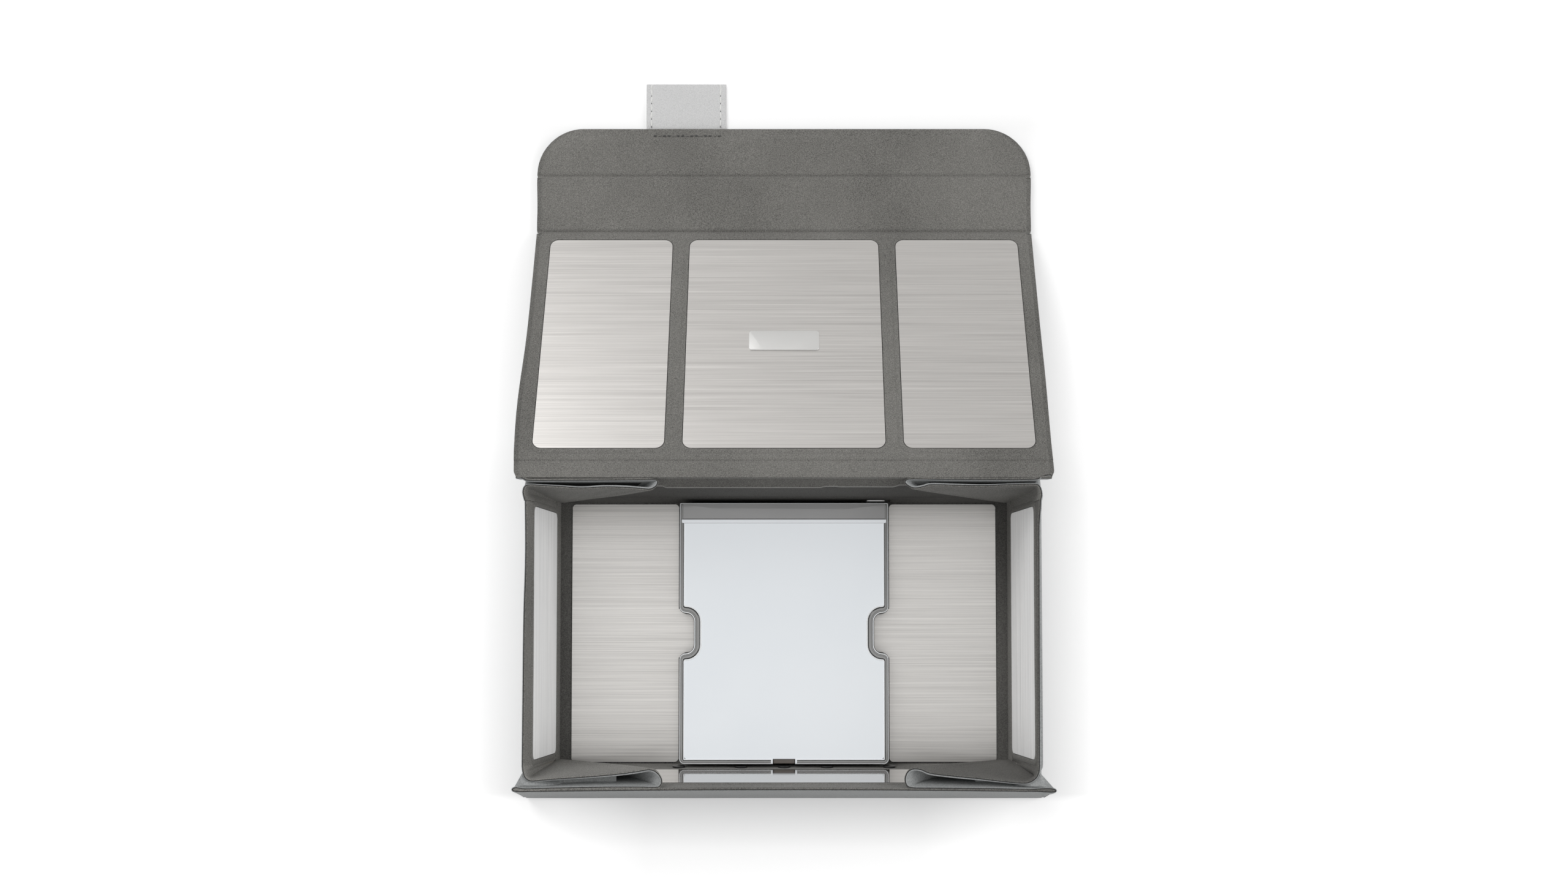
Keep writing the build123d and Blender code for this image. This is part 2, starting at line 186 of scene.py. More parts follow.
def feed(tree, socket, value):
    """Links a socket to another node's output, or sets it to a plain value."""
    if isinstance(value, bpy.types.NodeSocket):
        tree.links.new(value, socket)
    else:
        socket.default_value = value


def add_node(tree, kind, values=None, **settings):
    node = tree.nodes.new(kind)
    for key, value in settings.items():
        setattr(node, key, value)
    for socket, value in (values or {}).items():
        feed(tree, node.inputs[socket], value)
    return node


def noise_node(tree, vector, scale, detail=2.0, rough=0.5):
    values = {"Vector": vector, "Scale": scale, "Detail": detail, "Roughness": rough}
    return add_node(tree, "ShaderNodeTexNoise", values).outputs["Fac"]


def remap(tree, value, low, high, to_low=0.0, to_high=1.0):
    values = {0: value, 1: low, 2: high, 3: to_low, 4: to_high}
    return add_node(tree, "ShaderNodeMapRange", values).outputs[0]


def mix_colours(tree, factor, first, second):
    values = {0: factor, 6: first, 7: second}
    return add_node(tree, "ShaderNodeMix", values, data_type="RGBA").outputs[2]


def maths(tree, operation, first, second=0.0):
    return add_node(tree, "ShaderNodeMath", {0: first, 1: second}, operation=operation).outputs[0]


def object_place(tree):
    return add_node(tree, "ShaderNodeTexCoord").outputs["Object"]


def new_group(name, inputs, outputs):
    """A group with no effect yet. Four numbers at an input make it a colour, three a vector."""
    tree = bpy.data.node_groups.new(name, "ShaderNodeTree")
    for label, value in inputs.items():
        kind = {4: "Color", 3: "Vector"}[len(value)] if isinstance(value, tuple) else "Float"
        socket = tree.interface.new_socket(label, in_out="INPUT", socket_type=f"NodeSocket{kind}")
        socket.default_value = value
    for label in outputs:
        kind = "Color" if label == "Color" else "Float"
        tree.interface.new_socket(label, in_out="OUTPUT", socket_type=f"NodeSocket{kind}")
    given, out = tree.nodes.new("NodeGroupInput"), tree.nodes.new("NodeGroupOutput")
    return tree, given.outputs, out.inputs


def make_fibre_group():
    """Short pressed fibres, light and dark, as on microfibre."""
    tree, given, out = new_group("pressed_fibres", {"Dark": GREY, "Light": GREY, "Fineness": 1500.0},
                                 ("Color", "Height"))
    place = object_place(tree)
    fine = noise_node(tree, place, given["Fineness"], 2.0, 0.7)
    broad = noise_node(tree, place, 14.0, 3.0)
    speck = maths(tree, "MULTIPLY", remap(tree, fine, 0.28, 0.72), 0.82)
    shade = maths(tree, "ADD", speck, remap(tree, broad, 0.35, 0.65, 0.0, 0.18))
    feed(tree, out["Color"], mix_colours(tree, shade, given["Dark"], given["Light"]))
    feed(tree, out["Height"], fine)
    return tree


def make_pebble_group():
    """The small round grain of coated cloth and leather, dark in its hollows."""
    tree, given, out = new_group("pebbled_grain", {"Dark": GREY, "Light": GREY, "Fineness": 900.0},
                                 ("Color", "Height"))
    place = object_place(tree)
    cells = add_node(tree, "ShaderNodeTexVoronoi",
                     {"Vector": place, "Scale": given["Fineness"], "Smoothness": 0.6}, feature="SMOOTH_F1")
    broad = noise_node(tree, place, 25.0, 4.0)
    height = remap(tree, cells.outputs["Distance"], 0.0, 0.8, 1.0, 0.0)
    shade = maths(tree, "MULTIPLY", height, remap(tree, broad, 0.3, 0.7, 0.75, 1.0))
    feed(tree, out["Color"], mix_colours(tree, shade, given["Dark"], given["Light"]))
    feed(tree, out["Height"], height)
    return tree


def make_grain_group():
    """Long straight brush marks. Stretch is marks per metre along each axis."""
    tree, given, out = new_group("brushed_grain", {"Dark": GREY, "Light": GREY,
                                                   "Stretch": (12.0, 1500.0, 1500.0), "Rough": 0.35},
                                 ("Color", "Roughness", "Height"))
    scaled = add_node(tree, "ShaderNodeVectorMath", {0: object_place(tree), 1: given["Stretch"]},
                      operation="MULTIPLY").outputs[0]
    marks = noise_node(tree, scaled, 1.0, 4.0, 0.65)
    bands = noise_node(tree, scaled, 0.22, 2.0, 0.5)
    streak = maths(tree, "ADD", maths(tree, "MULTIPLY", remap(tree, marks, 0.25, 0.75), 0.8),
                   maths(tree, "MULTIPLY", remap(tree, bands, 0.3, 0.7), 0.2))
    feed(tree, out["Color"], mix_colours(tree, streak, given["Dark"], given["Light"]))
    uneven = remap(tree, marks, 0.3, 0.7, -0.06, 0.06)
    feed(tree, out["Roughness"], maths(tree, "ADD", given["Rough"], uneven))
    feed(tree, out["Height"], marks)
    return tree


def make_haze_group():
    """Slow changes of tone on smooth mouldings, with a little dust in them."""
    tree, given, out = new_group("moulded_haze", {"Base": GREY, "Haze": GREY, "Rough": 0.2},
                                 ("Color", "Roughness", "Height"))
    place = object_place(tree)
    broad = noise_node(tree, place, 18.0)
    fine = noise_node(tree, place, 900.0)
    tone = remap(tree, broad, 0.35, 0.65)
    feed(tree, out["Color"], mix_colours(tree, tone, given["Base"], given["Haze"]))
    dust = remap(tree, fine, 0.35, 0.65, -0.02, 0.02)
    feed(tree, out["Roughness"], maths(tree, "ADD", given["Rough"], dust))
    feed(tree, out["Height"], fine)
    return tree


FIBRES = make_fibre_group()
PEBBLES = make_pebble_group()
GRAIN = make_grain_group()
HAZE = make_haze_group()


# --- Materials ---

# What a group's outputs feed on the shader
COLOUR_ONLY = (("Color", "Base Color"),)
COLOUR_AND_ROUGH = (("Color", "Base Color"), ("Roughness", "Roughness"))
PAINTED_REFLECTION = (*COLOUR_AND_ROUGH, ("Color", "Emission Color"))
# Depths of the relief, in metres
CLOTH_RELIEF, BRUSHED_RELIEF, MOULDED_RELIEF = 0.0002, 0.00003, 0.00005


def rgba(colour):
    """A colour's three parts, or one number for a grey, with full alpha."""
    return (colour, colour, colour, 1.0) if isinstance(colour, float) else (*colour, 1.0)


def new_material(name, group, values, constants, links, bump, relief):
    """A Principled material fed by one group, with its constants on the shader's own sockets."""
    material = bpy.data.materials.new(name)
    material.use_nodes = True
    tree = material.node_tree
    shader = tree.nodes["Principled BSDF"]
    effect = add_node(tree, "ShaderNodeGroup", values, node_tree=group)
    for socket, value in constants.items():
        feed(tree, shader.inputs[socket], value)
    for output, socket in links:
        feed(tree, shader.inputs[socket], effect.outputs[output])
    if bump:
        raised = {"Strength": bump, "Distance": relief, "Height": effect.outputs["Height"]}
        feed(tree, shader.inputs["Normal"], add_node(tree, "ShaderNodeBump", raised).outputs["Normal"])
    return material


def cloth(name, group, dark, light, fineness, rough, bump, sheen=0.0):
    """Cloth, board, thread or leather, in fibres or in pebbles."""
    constants = {"Roughness": rough, "Specular IOR Level": 0.3, "Sheen Weight": sheen}
    values = {"Dark": rgba(dark), "Light": rgba(light), "Fineness": fineness}
    return new_material(name, group, values, constants, COLOUR_ONLY, bump, CLOTH_RELIEF)


def microfibre(name, dark, light, sheen=0.0):
    return cloth(name, FIBRES, dark, light, 2500.0, 0.95, 0.5, sheen)


def steel(name, dark, light, stretch, rough, metallic=1.0, glow=0.0):
    """Brushed steel. The glow is a painted reflection of the bright room that a standing plate mirrors."""
    constants = {"Metallic": metallic, "Emission Strength": glow}
    values = {"Dark": rgba(dark), "Light": rgba(light), "Stretch": stretch, "Rough": rough}
    return new_material(name, GRAIN, values, constants, PAINTED_REFLECTION if glow else COLOUR_AND_ROUGH, 0.25,
                        BRUSHED_RELIEF)


def moulded(name, base, haze, rough, bump=0.0, metallic=0.0, coat=0.0, glow=0.0, tint=1.0):
    """Smooth plastic, glass or metal. The glow is painted light that lifts clear, white and bright parts evenly.
    """
    constants = {"Metallic": metallic, "Coat Weight": coat, "Emission Color": rgba(tint),
                 "Emission Strength": glow}
    values = {"Base": rgba(base), "Haze": rgba(haze), "Rough": rough}
    return new_material(name, HAZE, values, constants, COLOUR_AND_ROUGH, bump, MOULDED_RELIEF)


# The liner in the open, then copies with painted shade (low and on the right), painted light (front left corner),
# painted shade (rear, and in bands) and a painted highlight (at an edge)
LINER = microfibre("grey_microfibre", (0.042, 0.041, 0.037), (0.315, 0.308, 0.288), 0.1)
LINER_SHADE = microfibre("grey_microfibre_shade", (0.05, 0.049, 0.046), (0.225, 0.22, 0.207))
LINER_LIT = microfibre("grey_microfibre_lit", (0.056, 0.055, 0.05), (0.40, 0.39, 0.365), 0.1)
LINER_REAR_SHADE = microfibre("grey_microfibre_rear_shade", (0.025, 0.025, 0.023), (0.135, 0.132, 0.125))
LINER_BAND_SHADE = microfibre("grey_microfibre_band_shade", (0.04, 0.039, 0.036), (0.27, 0.264, 0.247))
LINER_EDGE_HIGHLIGHT = cloth("grey_microfibre_edge_highlight", FIBRES, (0.16, 0.157, 0.148), (0.40, 0.39, 0.37), 2600.0,
                   0.9, 0.5, 0.2)
COVER = cloth("pebbled_cover_cloth", PEBBLES, (0.28, 0.29, 0.29), (0.47, 0.48, 0.48), 1700.0, 0.55, 0.35)
# Painted shade: the cover cloth deep in the rear gussets' slot
COVER_SLOT_SHADE = cloth("cover_cloth_slot_shade", PEBBLES, 0.035, 0.07, 1700.0, 0.8, 0.3)
CORE = cloth("black_core", FIBRES, 0.018, (0.055, 0.054, 0.052), 1500.0, 0.9, 0.3)
TAB = cloth("pebbled_leather", PEBBLES, 0.60, 0.78, 2100.0, 0.5, 0.6)
THREAD = cloth("white_thread", FIBRES, (0.7, 0.7, 0.69), (0.9, 0.9, 0.88), 3000.0, 0.7, 0.3)
DARK_THREAD = cloth("dark_thread", FIBRES, 0.03, 0.08, 3000.0, 0.8, 0.3)
BOARD = cloth("grey_board", FIBRES, (0.22, 0.20, 0.17), (0.34, 0.31, 0.26), 900.0, 0.9, 0.2)

BRUSHED_ACROSS, BRUSHED_ALONG = (12.0, 2800.0, 2800.0), (2300.0, 12.0, 2300.0)
STEEL_ACROSS = steel("steel_brushed_across", (0.435, 0.42, 0.405), (0.705, 0.685, 0.66), BRUSHED_ACROSS, 0.38)
# The floor plates' steel is a lighter copy, painted as if lit
STEEL_FLOOR_LIT = steel("steel_brushed_floor_lit", (0.54, 0.525, 0.505), (0.95, 0.93, 0.90), BRUSHED_ACROSS, 0.38)
# The side plates' steel is a lighter copy with a glow, a painted reflection of the bright room
STEEL_ALONG = steel("steel_brushed_along_painted_reflection", (0.58, 0.585, 0.585), 1.0, BRUSHED_ALONG, 0.42, 0.2, 0.15)
STEEL_MIRROR = steel("steel_polished", (0.54, 0.53, 0.52), (0.58, 0.57, 0.56), (6.0, 900.0, 900.0), 0.06)

BADGE = moulded("satin_badge", (0.66, 0.655, 0.64), (0.70, 0.695, 0.68), 0.42, 0.1, metallic=0.35)
UNIT_GREY = moulded("tray_grey", 0.055, 0.07, 0.3, 0.1)
# Painted light below: the header, the panel, the bright acrylic and the ledge glow evenly; the acrylic's pale,
# grey and dark copies paint the clear frame's shade
HEADER = moulded("header_grey", 0.42, 0.47, 0.12, coat=0.6, glow=0.03, tint=0.9)
PANEL = moulded("panel_white", (0.33, 0.345, 0.355), (0.36, 0.37, 0.375), 0.12, coat=0.6,
                glow=0.53, tint=(0.92, 0.96, 1.0))
CLEAR_HIGHLIGHT = moulded("acrylic_painted_highlight", (0.86, 0.875, 0.88), (0.92, 0.93, 0.94), 0.08, coat=0.5,
                     glow=0.14, tint=(0.9, 0.93, 0.95))
CLEAR_PALE = moulded("acrylic_pale", (0.36, 0.36, 0.355), (0.44, 0.44, 0.435), 0.08, coat=0.5)
CLEAR_MID = moulded("acrylic_grey", (0.17, 0.17, 0.165), (0.23, 0.23, 0.225), 0.08, coat=0.5)
CLEAR_DARK = moulded("acrylic_shadow", 0.04, 0.06, 0.1)
LEDGE = moulded("ledge_white", (0.50, 0.52, 0.54), (0.56, 0.575, 0.59), 0.15, coat=0.5,
                glow=0.42, tint=(0.93, 0.96, 1.0))
# The socket's glow and pale colour are a painted highlight
SOCKET = moulded("nickel_painted_highlight", (0.80, 0.80, 0.79), (0.86, 0.86, 0.85), 0.2, metallic=0.4, glow=0.25)
BUTTON = moulded("button_brown", (0.13, 0.115, 0.10), (0.17, 0.15, 0.135), 0.35, 0.1)
BLACK = moulded("satin_black", 0.012, 0.02, 0.4, 0.1)
NICKEL = moulded("nickel", (0.72, 0.71, 0.69), (0.78, 0.77, 0.75), 0.18, metallic=1.0)
WHITE_PLASTIC = moulded("white_plastic", (0.70, 0.70, 0.68), (0.74, 0.74, 0.72), 0.4, 0.1)
GREEN_BOARD = moulded("green_laminate", (0.03, 0.14, 0.07), (0.04, 0.18, 0.09), 0.35, 0.1)
COPPER = moulded("wound_copper", (0.45, 0.22, 0.10), (0.55, 0.28, 0.13), 0.35, 0.2, metallic=0.8)
REFLECTOR = moulded("polished_reflector", 0.85, 0.9, 0.1, metallic=1.0)
TUBE = moulded("quartz_tube", (0.9, 0.9, 0.93), (0.95, 0.95, 0.97), 0.05, coat=0.8)

SLOT_FINISHES = {
    "cover_cloth": COVER, "liner_cloth": LINER, "stiffener_board": BOARD, "mirror_steel": STEEL_ACROSS,
    "tab_leather": TAB, "badge_metal": BADGE, "black_studs": BLACK, "magnet_metal": NICKEL,
    "unit_grey": UNIT_GREY, "unit_clear": CLEAR_HIGHLIGHT, "unit_panel": PANEL, "button_plastic": BUTTON,
    "socket_plastic": BLACK, "socket_shell": NICKEL, "reflector_sheet": REFLECTOR, "lamp_glass": TUBE,
    "holder_plastic": WHITE_PLASTIC, "circuit_board": GREEN_BOARD, "winding_core": COPPER,
}
# Pieces that look unlike the rest of their slot
# Several carry painted light: painted shade on the floor liner, a painted reflection on the side plates, lighter
# floor plates, a painted highlight on the socket, a faint glow on the header
OWN_FINISHES = {
    "left_wall_plate": STEEL_ALONG, "right_wall_plate": STEEL_ALONG, "front_wall_plate": STEEL_MIRROR,
    "floor_plate_left": STEEL_FLOOR_LIT, "floor_plate_right": STEEL_FLOOR_LIT, "floor_liner": LINER_SHADE,
    "charging_socket": SOCKET, "lamp_header": HEADER,
}
STRIP_REAR = 62.0                   # behind this the strip's liner gets painted shade, as it lies in the lid's shade


def dress_cad_nodes():
    slots = {entry["node"]: entry["material_slot"] for entry in frame["record"]["subparts"]}
    for node, piece in frame["nodes"].items():
        piece.data.materials.clear()
        piece.data.materials.append(OWN_FINISHES.get(node, SLOT_FINISHES[slots[node]]))
    # Painted shade on the strip's liner where it lies under the lid
    strip = frame["nodes"]["strip_liner"].data
    strip.materials.append(LINER_REAR_SHADE)
    for face in strip.polygons:
        face.material_index = int(face.center.y > STRIP_REAR * MM)


dress_cad_nodes()


# --- Walls ---

RIM_TOP = 69.85
LINER_IN, COVER_OUT = 0.85, 0.55    # half widths of the raw rim, either side of its dark core
PLY = 1.0                           # the same where two plies lie together
CORE_HALF = 0.2
OVERLAP = 0.05                      # how far a cover reaches in under the rim's edge
WALL_END = 62.0                     # half the length of a side wall, up to its gussets
BACK = 2.85                         # from a wall's inside face to the cloth on its back
FOLD_GAP = 0.25                     # from a fold to the cloth above it
WALL_HEIGHTS = (18, 24, 30, 36, 42, 48, 54, 60, 61.6, 62.4, 63.0, 63.6, 64.6, 66, 68)
# Finishes by number in the walls: 0 liner, 1 core, 2 cover, 3 rear liner with painted shade, 4 board's edge with a
# painted highlight, 5 liner with painted shade in bands


def lean_out(z):
    """How far a wall's inside face leans out from its foot at height z."""
    return (z - FLOOR) * tan(LEAN)


def flared(z):
    """How far a wall or gusset has turned from its lean to its rim's own line at height z."""
    return smooth(62, 69, z)


def left_rim(y):
    """Where the core line of the left rim lies, out from the middle."""
    return 121.6 - 0.003 * y - 0.6 * exp(-((y - 38) / 22) ** 2)


def right_rim(y):
    return 119.26 + 0.0044 * y + 0.8 * smooth(48, 62, y)


def left_out(y):
    """The left cover lies close to its wall all along."""
    return COVER_OUT


def right_out(y):
    """The right wall's cover stands looser toward the front."""
    return COVER_OUT + 0.2 + 0.9 * (1 - smooth(-40, 40, y))


SIDE_WALLS = (("left", -1, left_rim, left_out), ("right", 1, right_rim, right_out))


def front_rim(x):
    return 73.0 + 0.75 * (x / END_HALF) ** 2


def drawn_in(y, wall, corner):
    """The rim's outer half width past a side wall's end."""
    return lerp(wall, corner, smooth(WALL_END, WALL_END + 3.5, abs(y)))


def rim_profile(inside, outside):
    """The raw edge of the laminate: (outward, height, finish of the step to the next point)."""
    return [(-inside, RIM_TOP - 0.35, 0), (-inside + 0.2, RIM_TOP - 0.04, 0), (-CORE_HALF, RIM_TOP, 1),
            (-CORE_HALF + 0.04, RIM_TOP - 0.14, 1), (CORE_HALF - 0.04, RIM_TOP - 0.14, 1),
            (CORE_HALF, RIM_TOP, 2), (outside - 0.2, RIM_TOP - 0.04, 2), (outside, RIM_TOP - 0.35, 2)]


def wall_section(along, foot, start, core, inside, outside):
    """One slice through a wall, liner side first, as (outward, z, finish)."""
    section = []
    level = 1 - smooth(54, 61, abs(along)) if foot == FOOT_X else 1.0   # even where the gussets begin
    for z in sorted(h for h in (start, start + 0.5, *WALL_HEIGHTS) if h >= start):
        line = foot + lean_out(z)
        flare = (core - inside - (foot + lean_out(RIM_TOP))) * flared(z)
        step = 0.12 * smooth(61.5, 64.5, z) * level
        wave = 0.12 * ripple(along, z, 22.0, foot) * level
        section.append((line + flare + step * (1 - smooth(66, 69, z)) + wave, z, 0))
    section += [(core + out, z, finish) for out, z, finish in rim_profile(inside, outside)]
    tuck = core + outside
    section += [(tuck, 67.5, 2), (tuck - 0.75, 67.3, 2), (foot + lean_out(62.9) + BACK - 0.2, 63.4, 2),
                (foot + lean_out(60) + BACK, 60, 2), (foot + lean_out(40) + BACK, 40, 2),
                (foot + lean_out(start) + BACK, start, 1)]
    return section


def wall_shell(wall, stations, section_at, place, liner=LINER):
    """A wall's liner, rim and back, drawn through slices at the stations."""
    shape = Shape()
    slices = [(s, section_at(s)) for s in stations]
    rows = [shape.add([place(out, s, z) for out, z, _ in section]) for s, section in slices]
    finishes = [finish for _, _, finish in slices[0][1]]
    count = len(finishes)
    for near, far in zip(rows, rows[1:]):
        for i in range(count):
            k = (i + 1) % count
            shape.face((near[i], near[k], far[k], far[i]), finishes[i])
    shape.face(rows[0], 0)
    shape.face(list(reversed(rows[-1])), 0)
    piece = shape.build(f"{wall}_cloth", wall, "liner_cloth",
                        [liner, CORE, COVER, LINER_REAR_SHADE, LINER_EDGE_HIGHLIGHT, LINER_BAND_SHADE])
    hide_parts(f"{wall}_liner")


def spread(low, high, step):
    """Evenly spaced numbers from low to high, about a step apart."""
    count = max(1, round((high - low) / step))
    return [lerp(low, high, i / count) for i in range(count + 1)]


def make_walls():
    for side, sign, rim, out in SIDE_WALLS:
        def section(y, rim=rim, out=out):
            return wall_section(y, FOOT_X, SIDE_FOLD + FOLD_GAP, rim(y), LINER_IN, out(y))

        def place(out, y, z, sign=sign):
            return Vector((sign * out, y, z))
        # The right wall's liner gets painted shade
        wall_shell(f"{side}_wall", spread(-WALL_END, WALL_END, 4.0), section, place,
                   LINER if sign < 0 else LINER_SHADE)
    wall_shell("front_wall", spread(-END_HALF, END_HALF, 4.5),
               lambda x: wall_section(x, FOOT_Y, END_FOLD + FOLD_GAP, front_rim(x), PLY, COVER_OUT),
               lambda out, x, z: Vector((x, -out, z)))


REAR_BEND, REAR_TOP = 60.0, 67.9    # below the bend the rear liner stands nearly upright
REAR_BEND_Y = 69.3
# In these, finish 4 is a painted highlight along the board's edge and finishes 3 and 5 are painted shade
# The liner over the hinge board's lower edge: height above it, how far it stands out, finish
BOARD_STEPS = ((-0.5, -0.15, 3), (-0.1, 0.1, 3), (0.25, 0.55, 4), (1.6, 0.75, 5), (2.2, 0.5, 5),
               (4.5, 0.25, 5))


def rear_line(z):
    """How far the rear liner's face is from the middle at height z."""
    if z < END_FOLD:
        return FOOT_Y + lean_out(z)
    if z < REAR_BEND:
        return lerp(FOOT_Y + lean_out(END_FOLD), REAR_BEND_Y, (z - END_FOLD) / (REAR_BEND - END_FOLD))
    top = FOOT_Y + lean_out(REAR_TOP) + 0.3
    return lerp(REAR_BEND_Y, top, (z - REAR_BEND) / (REAR_TOP - REAR_BEND))


def board_edge(x):
    """Height of the hinge board's lower edge, with the small steps that it shows."""
    ends = 1.6 * (1 - smooth(-57.5, -56.0, x)) + 1.8 * smooth(52.5, 54.0, x)
    first, second = smooth(18.0, 19.2, x), smooth(24.5, 25.7, x)
    return REAR_BEND - 0.4 + ends + 1.2 * first * (1 - second) + 0.7 * second


def rear_section(x, start, end):
    """A slice of one rear panel between two heights, its liner first."""
    # Below the board the rear liner gets painted shade (finish 3)
    steps = [(start, 0.0, 3)] + [(z, 0.0, 3) for z in (26, 34, 42, 50, 56) if start + 1 < z < end - 1]
    if end > REAR_BEND:
        edge = board_edge(x)
        steps += [(edge + above, raised, finish) for above, raised, finish in BOARD_STEPS] + [(66.6, 0.1, 5)]
    steps.append((end, 0.0, 0))
    section = [(rear_line(z) - raised + 0.1 * ripple(x, z, 25.0, 7), z, finish)
               for z, raised, finish in steps]
    return section + [(FOOT_Y + lean_out(end) + BACK, end, 2), (FOOT_Y + lean_out(start) + BACK, start, 1)]


def make_rear_wall():
    for panel, start, end in (("rear_lower", END_FOLD + FOLD_GAP, REAR_CREASE - 0.1),
                              ("rear_upper", REAR_CREASE + 0.45, REAR_TOP)):
        wall_shell(panel, spread(-END_HALF, END_HALF, 1.5),
                   lambda x, start=start, end=end: rear_section(x, start, end),
                   lambda out, x, z: Vector((x, out, z)))


# --- Corner gussets: one laminate from the wall, round the corner, in and out again ---

# Where the laminate stands on the base: inside a front or rear corner, at the tip and behind the tip
INNER_FOOT = {-1: (115.4, 64.0, 3.9), 1: (114.2, 66.2, 3.8)}
TIP_FOOT = (130.0, 83.0, 1.5)
FRONT_FOOT = (112.0, 66.8, 3.8)
# Points of the dark core line at the rim, from the side wall inwards, as x, y and what some are marked:
# C the turn into the first ply, F the fold nearest the box's middle, T the outer tip, E the end behind it.
FRONT_LEFT = [
    (-121.8, -62.0), (-121.4, -65.0), (-120.3, -67.65, "C"), (-117.5, -69.0, "C"), (-109.3, -68.3),
    (-94.1, -67.3), (-78.8, -66.0), (-68.6, -64.7), (-63.0, -63.8), (-60.0, -64.6), (-57.7, -66.9),
    (-57.0, -69.3, "F"), (-57.7, -71.1), (-59.5, -71.85), (-68.6, -71.75), (-83.9, -71.8),
    (-104.2, -72.15), (-119.5, -72.6), (-123.1, -72.3), (-125.0, -72.05, "T"), (-126.4, -72.75, "T"),
    (-125.7, -73.6, "T"), (-122.5, -73.9, "T"), (-118.6, -73.78, "E"), (-113.4, -73.72, "E")]
FRONT_RIGHT = [
    (119.0, -62.0), (118.7, -65.0), (117.1, -67.9, "C"), (113.6, -69.8, "C"), (108.7, -69.9),
    (100.7, -69.1), (89.9, -67.85), (79.2, -66.8), (68.5, -65.5), (64.2, -63.9), (60.5, -63.4),
    (57.8, -64.7), (56.5, -67.8, "F"), (57.3, -71.1), (60.5, -72.1), (68.5, -72.2), (84.6, -72.35),
    (100.6, -72.55), (114.0, -72.8), (121.0, -72.5), (124.8, -72.6, "T"), (126.5, -73.3, "T"),
    (125.6, -74.05, "T"), (121.0, -74.0, "T"), (118.6, -73.8, "E"), (113.4, -73.72, "E")]
REAR_LEFT = [
    (-121.5, 62.0), (-122.4, 65.9), (-121.5, 68.7, "C"), (-119.0, 69.35, "C"), (-113.8, 69.1),
    (-105.1, 68.6), (-94.8, 67.9), (-84.6, 68.4), (-74.3, 68.2), (-66.6, 67.6), (-63.0, 67.4),
    (-60.5, 68.5), (-59.4, 70.3, "F"), (-60.5, 71.7), (-66.6, 71.65), (-84.6, 71.5), (-105.1, 71.4),
    (-119.5, 71.4), (-122.1, 72.2), (-124.2, 72.9, "T"), (-125.4, 72.9, "T"), (-126.0, 72.95, "T")]
REAR_RIGHT = [
    (120.35, 62.0), (120.9, 65.0), (119.9, 68.6, "C"), (117.2, 69.7, "C"), (106.9, 69.5), (93.4, 69.0),
    (79.9, 69.2), (69.1, 69.4), (65.3, 68.5), (61.5, 67.9), (58.8, 68.7), (56.9, 70.4, "F"), (57.7, 71.7),
    (61.0, 72.1), (74.5, 71.9), (90.7, 71.8), (106.9, 71.7), (118.3, 72.0), (120.4, 73.0),
    (122.8, 73.7, "T"), (124.9, 74.0, "T"), (125.6, 73.7, "T")]
HEIGHTS = [0.05, 0.12, 0.18, 0.25, 0.32, 0.4, 0.48, 0.56, 0.64, 0.72, 0.8, 0.86, 0.91, 0.95, 0.98]
SPLIT_HEIGHT = 0.25                 # the outer ply starts here, level with the end walls' folds
SPAN_STEPS = 5                      # steps of the path between two of its points
FOLD_HALF = 0.4                     # half the laminate's thickness where it folds
FIRST_PLY_OUT = 0.85                # half width of the first ply's rim on its cover side
CRINKLE = 0.22                      # unevenness of the loose plies
BESIDE_X = 112                      # further out than this a gusset runs along its side wall
SLOT_X = (64, 119)                  # between these the cover side of the rear gussets' outer plies gets painted shade, deep in the slot
SLOT_START = 15                     # the first step of the path that can lie in it


def gusset_path(marks):
    """A smooth rim line with its foot and its half thickness at each point, and the fold's index."""
    side = 1 if marks[0][0] > 0 else -1
    end = 1 if marks[0][1] > 0 else -1
    foot_at = {"T": TIP_FOOT, "E": FRONT_FOOT}
    labels = [mark[2] if len(mark) > 2 else "" for mark in marks]
    fold = labels.index("F")
    controls = []
    for i, ((x, y, *_), label) in enumerate(zip(marks, labels)):
        foot = foot_at.get(label, INNER_FOOT[end])
        half = FOLD_HALF if abs(i - fold) <= 1 else LINER_IN if i < fold else PLY
        second = 0.0 if i <= fold else 1.0
        turn = 1.0 if label == "C" else 0.0
        controls.append((x, y, side * foot[0], end * foot[1], foot[2], half, second, turn))
    return curve_through(controls, SPAN_STEPS), fold * SPAN_STEPS, side, end


def clear_of_wall(x, y, z, thick, second, end):
    """Keeps both plies in front of an end wall: the second against it and the first before that."""
    limit = rear_line(z) if end > 0 else FOOT_Y + lean_out(z) - PLATE
    limit -= thick + 0.05 + (1 - second) * (0.5 if end > 0 else 1.5) * smooth(4, 25, z)
    near = (1 - flared(z)) * (1 - smooth(106.0, 113.0, x))
    return lerp(y, min(y, limit), near)


